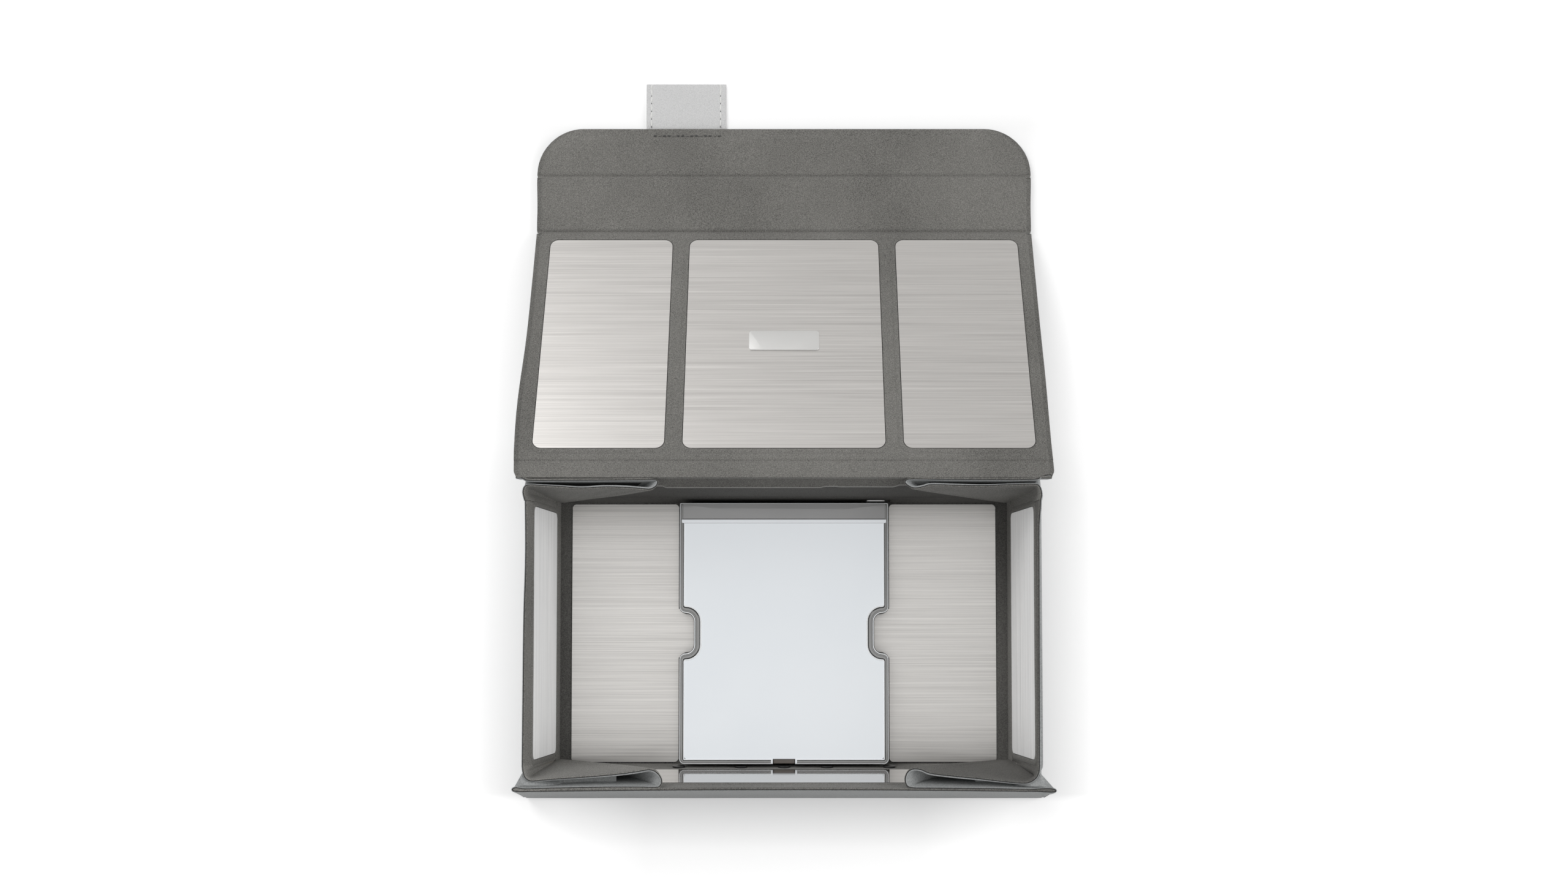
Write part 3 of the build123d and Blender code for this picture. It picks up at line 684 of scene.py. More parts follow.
def gusset_column(path, index, heights, side, end):
    """One slice of a gusset: up its liner side, over the rim and down its cover side."""
    x, y, fx, fy, fz, half, second, turn = path[index]
    before, after = path[max(index - 1, 0)], path[min(index + 1, len(path) - 1)]
    along = Vector((after[0] - before[0], after[1] - before[1], 0)).normalized()
    normal = Vector((-along.y, along.x, 0)) * (side * end)      # towards the liner
    outside = lerp(COVER_OUT, FIRST_PLY_OUT, smooth(20, 35, index) * (1 - smooth(0.3, 0.9, second)))
    beside = 0.0
    if abs(x) > BESIDE_X:
        outside = drawn_in(y, (left_out if side < 0 else right_out)(end * WALL_END), outside)
        beside = 1 - smooth(62.5, 66.0, abs(y))
    liner_side, cover_side = [], []
    for h in heights:
        base = Vector((lerp(fx, x, h), lerp(fy, y, h), lerp(fz, RIM_TOP, h)))
        fullness = min(1.0, 0.25 + 1.1 * h)
        thick, back = half * fullness, outside * fullness
        if beside > 0:
            flare = (abs(x) - half - FOOT_X - lean_out(RIM_TOP)) * flared(base.z)
            upright = side * (FOOT_X + lean_out(base.z) + thick + flare)
            base.x = lerp(base.x, upright, beside)
            base.y = lerp(base.y, y, beside)
        base.y = end * clear_of_wall(abs(base.x), abs(base.y), base.z, thick, min(max(second, 0), 1), end)
        if turn > 0:
            inside = side * (FOOT_X + lean_out(base.z) + thick)
            into = Vector((inside, end * lerp(abs(fy), 69.2, h), base.z))
            base = base.lerp(into, min(turn, 1) * 0.92 * (1 - smooth(0.8, 0.98, h)))
        fade = (1 - smooth(0.9, 1.0, h)) * smooth(0.05, 0.4, h) * (1 - beside)
        crinkle = CRINKLE * fade * ripple(index * 3.1, h * 20, 9.0, side + 2 * end)
        liner_side.append((base + normal * (thick + crinkle), 0))
        cover_side.append((base - normal * (back - crinkle), 2))
    core = Vector((x, y, 0))
    rim = [(core - normal * out + UP * z, finish) for out, z, finish in rim_profile(half, outside)]
    return liner_side + rim + cover_side[::-1]


def gusset_part(name, path, low, high, heights, side, end, body, finish_set):
    """Part of a gusset between two indices of its path, over some of its heights."""
    shape = Shape()
    columns = [gusset_column(path, index, heights, side, end) for index in range(low, high + 1)]
    rows = [shape.add([point for point, _ in column]) for column in columns]
    finishes = [finish for _, finish in columns[0]]
    count = len(finishes)
    for index, (near, far) in enumerate(zip(rows, rows[1:]), low):
        # Cover-side faces in the rear gussets' slot get painted shade
        in_slot = end > 0 and SLOT_X[0] < abs(path[index][0]) < SLOT_X[1] and index > SLOT_START
        for i in range(count - 1):
            shaded_in_slot = in_slot and i > count - len(heights) and finishes[i] == 2
            shape.face((near[i], near[i + 1], far[i + 1], far[i]), 3 if shaded_in_slot else finishes[i])
    if high == len(path) - 1:
        shape.face(rows[-1], 2)
    return shape.build(name, body, "cover_cloth", finish_set)


def make_gussets():
    # Painted light on the front left gusset's liner, painted shade on the front right one
    liners = {"front_left": LINER_LIT, "front_right": LINER_SHADE}
    upper = [h for h in HEIGHTS if h >= SPLIT_HEIGHT]
    for label, marks in (("front_left", FRONT_LEFT), ("front_right", FRONT_RIGHT),
                         ("rear_left", REAR_LEFT), ("rear_right", REAR_RIGHT)):
        path, fold, side, end = gusset_path(marks)
        finishes = [liners.get(label, LINER), CORE, COVER, COVER_SLOT_SHADE]
        inner = gusset_part(f"{label}_gusset_inner_ply", path, 0, fold, HEIGHTS, side, end, "base", finishes)
        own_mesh(inner)
        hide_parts(f"gusset_{label}")
        outer = gusset_part(f"{label}_gusset_outer_ply", path, fold, len(path) - 1, upper, side, end,
                            "front_wall" if end < 0 else "base", finishes)
        if end < 0:
            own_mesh(outer)
        else:
            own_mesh(outer)


# --- Slanting outer covers, from the base's edge to the rims ---

COVER_THICK = 0.6
COVER_TOP, REAR_COVER_TOP = 67.2, 61.0
COVER_STEPS = (0, 0.08, 0.2, 0.35, 0.5, 0.65, 0.8, 0.9, 0.96, 1.0)       # from the base's edge up
COVER_ACROSS = (-1.0, -0.995, -0.98, *spread(-0.95, 0.95, 0.05), 0.98, 0.995, 1.0)
COVER_FOOT = 1.0                    # height of its lower edge
CORNER_FOOT_Y = 83.0


def straight_in(point):
    """The way in from a side cover, or from a front or rear one."""
    if abs(point.x) > 118 and abs(point.y) < 72:
        return Vector((-copysign(1, point.x), 0, 0))
    return Vector((0, -copysign(1, point.y), 0))


def cover_shell(side, rows):
    """A sheet of cover cloth through rows of outside points, with its thickness inside them."""
    shape = Shape()
    outer = shape.net(rows, 0)
    inner = shape.net([[point + straight_in(point) * COVER_THICK for point in row] for row in rows], 0)
    shape.strip(outer[-1], inner[-1], 1)
    piece = shape.build(f"{side}_outer_cover_cloth", "base", "cover_cloth", [COVER, CORE])
    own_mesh(piece)
    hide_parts(f"{side}_outer_cover")


def corner_line(marks, first):
    """The outside of the rim from a side wall's end round the corner, drawn in from its first half width."""
    line = [Vector(p) for p in curve_through([m[:2] for m in marks[:5]], 4)]
    moved = []
    for i, point in enumerate(line):
        along = (line[min(i + 1, len(line) - 1)] - line[max(i - 1, 0)]).normalized()
        out = Vector((along.y, -along.x))
        if out.dot(point) < 0:
            out = -out
        moved.append(tuple(point + out * (drawn_in(point.y, first, COVER_OUT) - OVERLAP)))
    return moved


WEB_TOP, WEB_DEEP = 69.2, 63.0
WEB_TIP, WEB_BACK_Y = (126.2, -72.9), -71.9
WEB_TURN = 0.6                      # the share of its length at which a web's edge turns at the tip


def make_corner_webs():
    """The cover cloth pulled straight from each side wall's front end to the tip, and down into the slot."""
    for (name, side, _, out), marks in zip(SIDE_WALLS, (FRONT_LEFT, FRONT_RIGHT)):
        near = corner_line(marks, out(-WALL_END))[4:]
        inner = [Vector((x, y, WEB_TOP)) for x, y in curve_through(near + [m[:2] for m in marks[5:7]], 1)]
        start, tip = inner[0].copy(), Vector((side * WEB_TIP[0], WEB_TIP[1], WEB_TOP))
        back = Vector((inner[-1].x, WEB_BACK_Y, WEB_TOP))
        shape = Shape()
        rows = []
        for i, point in enumerate(inner):
            share = i / (len(inner) - 1)
            if share < WEB_TURN:
                far = start.lerp(tip, share / WEB_TURN)
            else:
                far = tip.lerp(back, (share - WEB_TURN) / (1 - WEB_TURN))
            drop = (WEB_TOP - WEB_DEEP) * smooth(WEB_TURN, 1.0, share)
            ridge = 0.9 * smooth(0.0, 0.3, share) * (1 - smooth(WEB_TURN, 0.9, share))
            rows.append([point.lerp(far, t) + UP * (ridge * exp(-((t - 0.45) / 0.2) ** 2) - drop)
                         for t in (0, 0.15, 0.3, 0.45, 0.6, 0.75, 0.9, 1.0)])
        above = shape.net(rows, 0)
        under = shape.net([[p - UP * COVER_THICK for p in row] for row in rows], 0)
        shape.strip([row[-1] for row in above], [row[-1] for row in under], 0)
        web = shape.build(f"front_{name}_corner_web", "base", "cover_cloth", [COVER])
        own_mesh(web)


def side_cover_rows(side, path):
    """Rows of a side cover, its path being the line of its upper edge."""
    rows = []
    for t in COVER_STEPS:
        row = []
        for x, y in path:
            foot_y = lerp(y, copysign(CORNER_FOOT_Y, y), smooth(60, 68, abs(y)))
            foot, top = Vector((side * BASE_X, foot_y, COVER_FOOT)), Vector((x, y, COVER_TOP))
            wave = side * 0.15 * ripple(y, t * 60, 30, 3) * (1 - t)
            row.append(foot.lerp(top, t) + Vector((wave, 0, 0)))
        rows.append(row)
    return rows


def end_cover_rows(sign, top_half, rim_at, top, wave_at):
    """Rows of the front or the rear cover, whose upper edge is top_half wide to each side."""
    rows = []
    for t in COVER_STEPS:
        half = lerp(BASE_X - 0.3, top_half, t)
        row = []
        for u in COVER_ACROSS:
            y = sign * lerp(BASE_Y, rim_at(u * half), t) + 0.1 * wave_at(u, half, t) * (1 - t)
            row.append(Vector((u * half, y, lerp(COVER_FOOT, top, t))))
        rows.append(row)
    return rows


def make_outer_covers():
    corners = ((FRONT_LEFT, REAR_LEFT), (FRONT_RIGHT, REAR_RIGHT))
    for (name, side, rim, out), (front, rear) in zip(SIDE_WALLS, corners):
        middle = [(side * (rim(y) + out(y) - OVERLAP), y) for y in spread(-58, 58, 5.8)]
        path = corner_line(front, out(-WALL_END))[::-1] + middle + corner_line(rear, out(WALL_END))
        cover_shell(name, side_cover_rows(side, path))
    rows = end_cover_rows(-1, 126.0, lambda x: front_rim(min(abs(x), END_HALF)) + COVER_OUT - OVERLAP,
                          COVER_TOP, lambda u, half, t: ripple(u * half, t * 60, 30, 5))
    cover_shell("front", rows)
    rows = end_cover_rows(1, 126.5, lambda x: 76.0, REAR_COVER_TOP,
                          lambda u, half, t: ripple(u * 130, t * 60, 30, 9))
    cover_shell("rear", rows)


# --- Lid and flap: boards between liner and cover ---

LINER_CREST = 2.75                  # height of the flap's liner beside its folds
FLAP_TIP, FLAP_CORNER = 260.1, 24.0
# Distances from a panel's edge at which its cloths have a row of points
EDGE_STEPS = (0.0, 0.25, 0.8, 1.5, 2.1, 2.5, 2.9, 3.4, 4.4, 6.0)
SHADE_STEP = 4                    # the cloth outside this row gets painted shade


def lid_point(x, s, n):
    """A point on the open lid, s from its hinge line and n above its liner."""
    return Vector((x, HINGE.y + s * cos(LID_SLOPE) + n * sin(LID_SLOPE),
                   HINGE.z - s * sin(LID_SLOPE) + n * cos(LID_SLOPE)))


def flat_point(x, y, n):
    return Vector((x, y, LID_THICK + n))


def net_edge(net):
    """The points round the outside of a net, in order."""
    last, wide = len(net) - 1, len(net[0]) - 1
    places = ([(0, c) for c in range(wide)] + [(r, wide) for r in range(last)]
              + [(last, c) for c in range(wide, 0, -1)] + [(r, 0) for r in range(last, 0, -1)])
    return [net[r][c] for r, c in places]


def cloth_panel(body, rows, columns, rise, place):
    """A board between two cloths. rise(x, v, under) is how far either stands off the board's level."""
    shape = Shape()
    grid = [[(x, v) for x in columns(v)] for v in rows]
    top = shape.net([[place(x, v, rise(x, v, 0)) for x, v in row] for row in grid], 0)
    wide = len(grid[0]) - 1
    # Faces near the side edges get painted shade
    for i in range(len(shape.faces)):
        if min(i % wide, wide - 1 - i % wide) < SHADE_STEP:
            shape.finishes[i] = 3
    under = shape.net([[place(x, v, -LID_THICK - rise(x, v, 1)) for x, v in row] for row in grid], 2)
    first, final = net_edge(top), net_edge(under)
    middle_y = place(0, (rows[0] + rows[-1]) / 2, 0).y
    bands = [first]
    for share, out in ((0.42, 0.05), (0.46, -0.1), (0.54, -0.1), (0.58, 0.05)):
        ring = []
        for a, b in zip(first, final):
            p = shape.points[a].lerp(shape.points[b], share)
            ring.append(p + Vector((p.x, (p.y - middle_y) * 0.2, 0)).normalized() * out)
        bands.append(shape.add(ring))
    for upper, lower, finish in zip(bands, bands[1:] + [final], (0, 0, 1, 2, 2)):
        shape.strip(upper, lower, finish, closed=True)
    piece = shape.build(f"{body}_cloth", body, "liner_cloth", [LINER, CORE, COVER, LINER_BAND_SHADE], sharp=50)
    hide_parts(f"{body}_liner", f"{body}_cover")


def edge_columns(half, count, bulge=0.0):
    """Where the columns stand: close together at both edges, the left one bulging out."""
    inner = [lerp(-half + 9.0, half - 9.0, i / count) for i in range(count + 1)]
    return [-half - bulge + e for e in EDGE_STEPS] + inner + [half - e for e in reversed(EDGE_STEPS)]


def left_bulge(s):
    """How far the lid's left edge swells out near its hinge."""
    return 1.5 * exp(-((s - 36) / 32) ** 2) * smooth(0.5, 16, s)


def pressed(offset, width):
    """1 in the middle of a pressed line and 0 beyond its width."""
    return max(0.0, 1 - (offset / width) ** 2) ** 2 if abs(offset) < width else 0.0


def board_step(distance):
    """How far the cloths close in beyond the board's edge, with a pressed line along it."""
    return -0.55 * (1 - smooth(1.9, 3.0, distance)) - 0.16 * pressed(distance - 2.6, 0.45)


def make_lid():
    rows = ([0.9, 1.6, 2.4, 4, 6, 7.6, 8.6, 9.1, 9.4, 9.6, 9.8, 10.1, 10.7, 12.5, 14, 16]
            + spread(20, 140, 6.0) + [143, 144.6, 145.6, 146.2, 146.8, 147.6, 148.4, LID_END])

    def columns(s):
        narrowed = 1.3 * (1 - smooth(0.9, 4.5, s))
        return edge_columns(LID_X + 0.25 * ripple(1, s, 40, 2) - narrowed, 40, left_bulge(s))

    def rise(x, s, under):
        step = board_step(LID_X - abs(x) + (left_bulge(s) if x < 0 else 0.0))
        if under:
            raised = 0.8 * step - 0.2 * pressed(s - LID_CREASE, 0.9)
        else:
            raised = step - 0.4 * pressed(s - LID_CREASE, 0.6) + 0.25 * pressed(s - LID_CREASE - 0.9, 0.6)
            raised -= 0.12 * pressed(s - LID_PRESS, 0.6) + 0.45 * smooth(148.2, LID_END, s)
        level = 17 < s < 143 and not under          # the plates lie flat here
        return raised + (0 if level else 0.07 * ripple(x, s, 18.0, 1 + under))

    cloth_panel("lid", rows, columns, rise, lid_point)


def make_flap():
    start, end = FLAP_HINGE.y + 0.5, FLAP_FOLD_Y - 0.45
    rows = ([start, start + 0.35, start + 0.8, start + 1.6, start + 3] + spread(start + 5, end - 4, 5.0)
            + [end - 2.5, end - 1.2, end - 0.6, end])

    def rise(x, y, under):
        step = board_step(LID_X - abs(x))
        if under:
            return 0.7 * step
        folds = 0.5 * (1 - smooth(start, start + 0.8, y)) + 0.5 * smooth(end - 0.8, end, y)
        return step - folds + 0.08 * ripple(x, y, 16.0, 4)

    cloth_panel("flap", rows, lambda y: edge_columns(LID_X + 0.35 * ripple(3, y, 14.0, 6), 46), rise,
                flat_point)


def make_flap_end():
    start = FLAP_FOLD_Y + 0.45
    rows = ([start, start + 0.35, start + 0.8, start + 1.8] + spread(start + 4, FLAP_TIP - 7, 2.6)
            + [FLAP_TIP - e for e in (5.4, 4.2, 3.4, 2.9, 2.5, 2.1, 1.6, 1.1, 0.7, 0.4, 0.2, 0.08, 0.0)])
    corner_x, corner_y = LID_X - FLAP_CORNER, FLAP_TIP - FLAP_CORNER

    def half_at(y):
        into = max(0.0, y - corner_y)
        wave = 0.3 * ripple(3, y, 14.0, 6) * (1 - into / FLAP_CORNER)
        return corner_x + (FLAP_CORNER ** 2 - into ** 2) ** 0.5 + wave

    def inset(x, y):
        if abs(x) > corner_x and y > corner_y:
            return FLAP_CORNER - hypot(abs(x) - corner_x, y - corner_y)
        return min(LID_X - abs(x), FLAP_TIP - y)

    def rise(x, y, under):
        at_tip = y > FLAP_TIP - 5.4 and abs(x) < LID_X - 8
        step = board_step(inset(x, y) * (0.62 if at_tip else 1.0))
        if under:
            return 0.7 * step
        return step - 0.5 * (1 - smooth(start, start + 0.8, y)) + 0.08 * ripple(x, y, 16.0, 4)

    cloth_panel("flap_end", rows, lambda y: edge_columns(half_at(y), 46), rise, flat_point)


def crease_strip(name, top, under, half=LID_X - 0.2, node=None):
    """Cloth that crosses a fold: liner above and cover below, each through (y, z) points."""
    xs = spread(-half, half, 8.0)
    for label, line, finish in (("liner", top, LINER), ("cover", under, COVER)):
        if not line:
            continue
        shape = Shape()
        shape.net([[Vector((x, y, z)) for x in xs] for y, z in curve_through(line, 3)], 0)
        piece = shape.build(f"{name}_{label}", None, f"{label}_cloth", [finish], sharp=80)
        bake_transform(piece)
        if node:
            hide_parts(node)


def make_creases():
    a, b = lid_point(0, 148.6, -0.35), lid_point(0, 148.6, -LID_THICK - 0.02)
    y = FLAP_HINGE.y
    crease_strip("flap_crease",
                 [(a.y, a.z), (y - 0.1, 2.35), (y + 0.6, 2.6), (y + 0.9, LINER_CREST)],
                 [(b.y, b.z), (y - 0.6, 0.12), (y + 0.9, 0.04)])
    y = FLAP_FOLD_Y
    crease_strip("flap_fold",
                 [(y - 0.9, LINER_CREST), (y - 0.3, 2.45), (y + 0.3, 2.45), (y + 0.9, LINER_CREST)],
                 [(y - 0.9, 0.04), (y, 0.12), (y + 0.9, 0.04)])
    near, far = lid_point(0, 1.4, 0.02), lid_point(0, 6.0, -LID_THICK - 0.1)
    crease_strip("lid_hinge",
                 [(72.45, 67.85), (72.55, 68.8), (72.75, 69.75), (73.1, 69.95), (near.y, near.z)],
                 None, half=LID_X - 2.0)
    crease_strip("lid_hinge_back",
                 None, [(75.3, 60.4), (75.2, 63.5), (75.6, 65.0), (76.6, 65.1), (far.y, far.z)],
                 half=LID_X - 2.4, node="hinge_seam_tape")


# --- Pressed lines of cloth round the steel plates ---

# The first step, in the black core cloth, paints the shade in the groove at the plate's edge
# Across a plate's pressed edge: outward, height, finish of the step to the next
RING = ((-0.02, 0.03, 0), (0.16, 0.0, 0), (0.32, 0.28, 1), (0.8, 0.42, 1), (1.5, 0.38, 1), (2.3, 0.16, 1),
        (2.9, 0.0, 1), (3.0, -0.15, 1))
LID_PLATES = (("left", -119.5, -57.0), ("centre", -48.2, 48.2), ("right", 57.0, 119.5))
LID_PLATE_REACH, LID_PLATE_CORNER = (16.4, 143.7), 4.3
PLATE_CORNER = 3.0                  # of the wall and floor plates
SIDE_PLATE_HALF, SIDE_PLATE_HEIGHTS = 60.0, (10.4, 56.2)        # heights are above the floor
FRONT_PLATE_HALF, FRONT_PLATE_HEIGHTS = 104.0, (18.8, 53.7)


def rounded_outline(low, high, corner, out):
    """A rectangle's outline with rounded corners, moved outwards."""
    (u0, v0), (u1, v1) = low, high
    points = []
    radius = corner + out
    for cu, cv, turn in ((u1 - corner, v0 + corner, -90), (u1 - corner, v1 - corner, 0),
                         (u0 + corner, v1 - corner, 90), (u0 + corner, v0 + corner, 180)):
        for step in range(7):
            angle = radians(turn + 15 * step)
            points.append((cu + radius * cos(angle), cv + radius * sin(angle)))
    fine = []
    for a, b in zip(points, points[1:] + points[:1]):
        cuts = max(1, int(hypot(b[0] - a[0], b[1] - a[1]) / 5))
        fine += [(lerp(a[0], b[0], i / cuts), lerp(a[1], b[1], i / cuts)) for i in range(cuts)]
    return fine


def plate_ring(name, body, low, high, corner, place):
    shape = Shape()
    rows = []
    for out, height, _ in RING:
        uneven = 0.25 if height > 0.1 else 0.0
        rows.append([place(u, v, height * (1 + uneven * ripple(u, v, 12.0, 8)))
                     for u, v in rounded_outline(low, high, corner, out)])
    shape.net(rows, [finish for _, _, finish in RING], closed=True)
    shape.build(name, body, "liner_cloth", [CORE, LINER], sharp=60)


def plate_gap_shade(name, low, high, corner):
    """A thin black ring, painted as the shade in the gap where the floor's cloth stops short of a floor plate."""
    shape = Shape()
    shape.net([[Vector((x, y, FLOOR + z)) for x, y in rounded_outline(low, high, corner, out)]
               for out, z in ((-0.05, 0.02), (0.22, 0.05), (0.3, 0.0))], 0, closed=True)
    shape.build(name, "base", "liner_cloth", [CORE], sharp=60)


def on_wall(foot, v, n):
    """Outward distance and height of a point on a wall, v up its slope and n in front of it."""
    return foot + v * sin(LEAN) - n * cos(LEAN), FLOOR + v * cos(LEAN) + n * sin(LEAN)


def wall_plate_ring(body, half, heights, place):
    low, high = (height / cos(LEAN) for height in heights)
    plate_ring(f"{body}_plate_edge", body, (-half, low), (half, high), PLATE_CORNER, place)


def make_rings():
    for name, left, right in LID_PLATES:
        plate_ring(f"lid_{name}_plate_edge", "lid", (left, LID_PLATE_REACH[0]), (right, LID_PLATE_REACH[1]),
                   LID_PLATE_CORNER, lid_point)
    for side in ("left", "right"):
        low, high = node_box(f"floor_plate_{side}")
        plate_gap_shade(f"floor_plate_{side}_gap_shade", low.xy, high.xy, PLATE_CORNER)
    for name, sign, _, _ in SIDE_WALLS:
        def beside(u, v, n, sign=sign):
            out, z = on_wall(FOOT_X, v, n)
            return Vector((sign * out, u, z))
        wall_plate_ring(f"{name}_wall", SIDE_PLATE_HALF, SIDE_PLATE_HEIGHTS, beside)

    def in_front(u, v, n):
        out, z = on_wall(FOOT_Y, v, n)
        return Vector((u, -out, z))
    wall_plate_ring("front_wall", FRONT_PLATE_HALF, FRONT_PLATE_HEIGHTS, in_front)


# --- Pull tab and stitching ---

TAB_X = (-71.2, -29.85)
# Along the tab: y, height of its upper face, height of its under face
TAB_PROFILE = ((254.8, 0.85, 0.1), (258.5, 0.85, 0.1), (260.4, 1.0, 0.1), (262.5, 1.45, 0.12),
               (266.0, 1.6, 0.1), (270.0, 1.55, 0.1), (276.0, 1.6, 0.12), (281.0, 1.6, 0.1),
               (283.5, 1.5, 0.15), (284.0, 1.2, 0.4))
SIDE_STITCHES = (262.1, 266.2, 270.2, 274.3, 278.2, 281.4)          # where each begins
ROW_START, ROW_PITCH, ROW_COUNT, ROW_Y = -67.4, 2.36, 15, 256.35    # the stitch row on the flap
# Along a stitch: share of its length, share of its full thickness
STITCH = ((0.0, 0.25), (0.08, 0.65), (0.25, 0.95), (0.5, 1.05), (0.75, 0.95), (0.92, 0.65), (1.0, 0.25))


def stitch(shape, start, end, half, finish=0):
    """One raised stitch: a short rounded thread, thickest in its middle."""
    start, end = Vector(start), Vector(end)
    side = (end - start).normalized().cross(UP).normalized()
    rows = []
    for t, size in STITCH:
        middle = start.lerp(end, t)
        rows.append([middle + side * half * size * cos(a) + UP * half * 0.75 * size * sin(a)
                     for a in (radians(45 * i) for i in range(8))])
    made = shape.net(rows, finish, closed=True)
    shape.face(made[0][::-1], finish)
    shape.face(made[-1], finish)


def make_pull_tab():
    shape = Shape()
    x0, x1 = TAB_X
    xs = ([x0, x0 + 0.35, x0 + 1.0, x0 + 2.6] + spread(x0 + 4, x1 - 4, 4.0)
          + [x1 - 2.8, x1 - 1.0, x1 - 0.35, x1])
    drop = [0.35, 0.1, 0.0, 0.14] + [0.0] * (len(xs) - 8) + [0.14, 0.0, 0.1, 0.35]
    top = shape.net([[Vector((x, y, t - d * 0.9)) for x, d in zip(xs, drop)] for y, t, _ in TAB_PROFILE], 0)
    under = shape.net([[Vector((x, y, b + d * 0.6)) for x, d in zip(xs, drop)] for y, _, b in TAB_PROFILE], 0)
    shape.strip(net_edge(top), net_edge(under), 0, closed=True)
    tab = shape.build("pull_tab_leather", None, "tab_leather", [TAB])
    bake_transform(tab)
    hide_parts("pull_tab_root", "pull_tab")


def make_stitches():
    seam, holes, row = Shape(), Shape(), Shape()
    for x, drift in ((TAB_X[0] + 2.6, 0.25), (TAB_X[1] - 3.0, -0.2)):
        for i, y in enumerate(SIDE_STITCHES):
            slant = drift * (1 if i % 2 else -0.6)
            length = 2.3 if y == SIDE_STITCHES[-1] else 3.2
            stitch(seam, (x - slant, y, 1.5), (x + slant, y + length, 1.5), 0.42)
            rim = [(x + 0.22 * cos(a), y - 0.5 + 0.3 * sin(a)) for a in (radians(60 * k) for k in range(6))]
            made = holes.net([[Vector((u, v, z)) for u, v in rim] for z in (1.2, 1.57)], 0, closed=True)
            holes.face(made[-1])
    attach(seam.build("pull_tab_side_stitches", None, "tab_leather", [THREAD]), "pull_tab")
    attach(holes.build("pull_tab_needle_holes", None, "tab_leather", [CORE]), "pull_tab")
    for i in range(ROW_COUNT):
        x, z = ROW_START + i * ROW_PITCH, LID_THICK - 0.02
        stitch(row, (x, ROW_Y - 0.05 + 0.1 * (i % 2), z), (x + 1.75, ROW_Y, z), 0.27, 1 if i % 3 == 1 else 0)
    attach(row.build("flap_stitch_row", None, "liner_cloth", [DARK_THREAD, LINER]), "flap_end")


# --- The lamp unit's clear frame ---

UNIT_CORNER = 2.6
NOTCH_X, NOTCH_Y = 49.3, 5.85               # middles of the two rounds of a finger notch
NOTCH_RADIUS, NOTCH_SPREAD = 4.05, 1.54     # the frame is wider round the notches
NOTCH_MOUTH = 3.2                           # radius where a notch opens into the frame's side
NOTCH_HALF = 12.6                           # half its length
BUTTON_HALF = 5.6                           # half the gap in the frame for the start button
FRAME_FOOT = TRAY_TOP + 0.02 - UNIT_TOP
# The bands' and the bar's finishes paint the clear acrylic's highlights, glow and shade as opaque colours
# Bands across the frame's top: inset, height from its top, finish of the band that follows
BANDS = ((0.0, FRAME_FOOT, 0), (0.0, -0.55, 0), (0.1, -0.25, 0), (0.2, -0.08, 1), (0.35, 0.0, 1),
         (0.5, -0.03, 3), (0.66, -0.12, 4), (0.92, -0.08, 2), (1.12, -0.08, 4), (1.72, -0.05, 3),
         (2.02, -0.3, 3), (2.12, -0.1, 1), (2.5, -0.08, 1), (2.6, -0.5, 1), (2.6, FRAME_FOOT, 1))
# The clear bar between the panel and the header, front to rear: distance, height from the top, finish
BAR_FRONT = HEADER_FRONT - 2.1
BAR = ((-0.1, TRAY_TOP - UNIT_TOP, 4), (-0.1, -0.35, 4), (0.05, -0.1, 5), (0.4, 0.02, 5), (1.0, 0.06, 5),
       (1.75, 0.04, 4), (2.0, -0.05, 2), (2.3, -0.1, 2))


def unit_side(inset):
    """Right-hand half of the frame's outline, front to rear, with its finger notch."""
    line = []

    def arc(cx, cy, radius, start, end, steps=8):
        for i in range(steps + 1):
            angle = radians(lerp(start, end, i / steps))
            line.append((cx + radius * cos(angle), UNIT_MIDDLE + cy + radius * sin(angle)))

    far = (UNIT_REAR - UNIT_FRONT) / 2 - UNIT_CORNER
    arc(UNIT_X - UNIT_CORNER, -far, UNIT_CORNER - inset, -90, 0)
    turn, mouth = NOTCH_RADIUS + NOTCH_SPREAD * inset, NOTCH_MOUTH - inset
    arc(NOTCH_X, -NOTCH_Y - turn - mouth, mouth, 0, 90)
    arc(NOTCH_X, -NOTCH_Y, turn, 270, 180)
    arc(NOTCH_X, NOTCH_Y, turn, 180, 90)
    arc(NOTCH_X, NOTCH_Y + turn + mouth, mouth, -90, 0)
    rear = max(0.8 - inset, 0.01)
    arc(UNIT_X - inset - rear, far + UNIT_CORNER - inset - rear, rear, 0, 90)
    return line


def make_lamp_frame():
    shape = Shape()
    rows = []
    for inset, height, _ in BANDS:
        right = unit_side(inset)
        front, rear = right[0][1], right[-1][1]
        line = [(BUTTON_HALF, front), (20.0, front)] + right + [(20.0, rear), (0.0, rear)]
        line += [(-x, y) for x, y in reversed(line[:-1])]
        rows.append([Vector((x, y, UNIT_TOP + height)) for x, y in line])
    made = shape.net(rows, [finish for _, _, finish in BANDS])
    shape.face([row[0] for row in made], 1)
    shape.face([row[-1] for row in made][::-1], 1)
    reach = UNIT_X - 1.2
    shape.net([[Vector((x, BAR_FRONT + y, UNIT_TOP + height)) for x in (-reach, 0, reach)]
               for y, height, _ in BAR], [finish for _, _, finish in BAR])
    piece = shape.build("lamp_frame_clear", "base", "unit_clear",
                        [CLEAR_DARK, CLEAR_HIGHLIGHT, CLEAR_MID, CLEAR_DARK, CLEAR_PALE, LEDGE], sharp=30)
    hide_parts("lamp_frame")


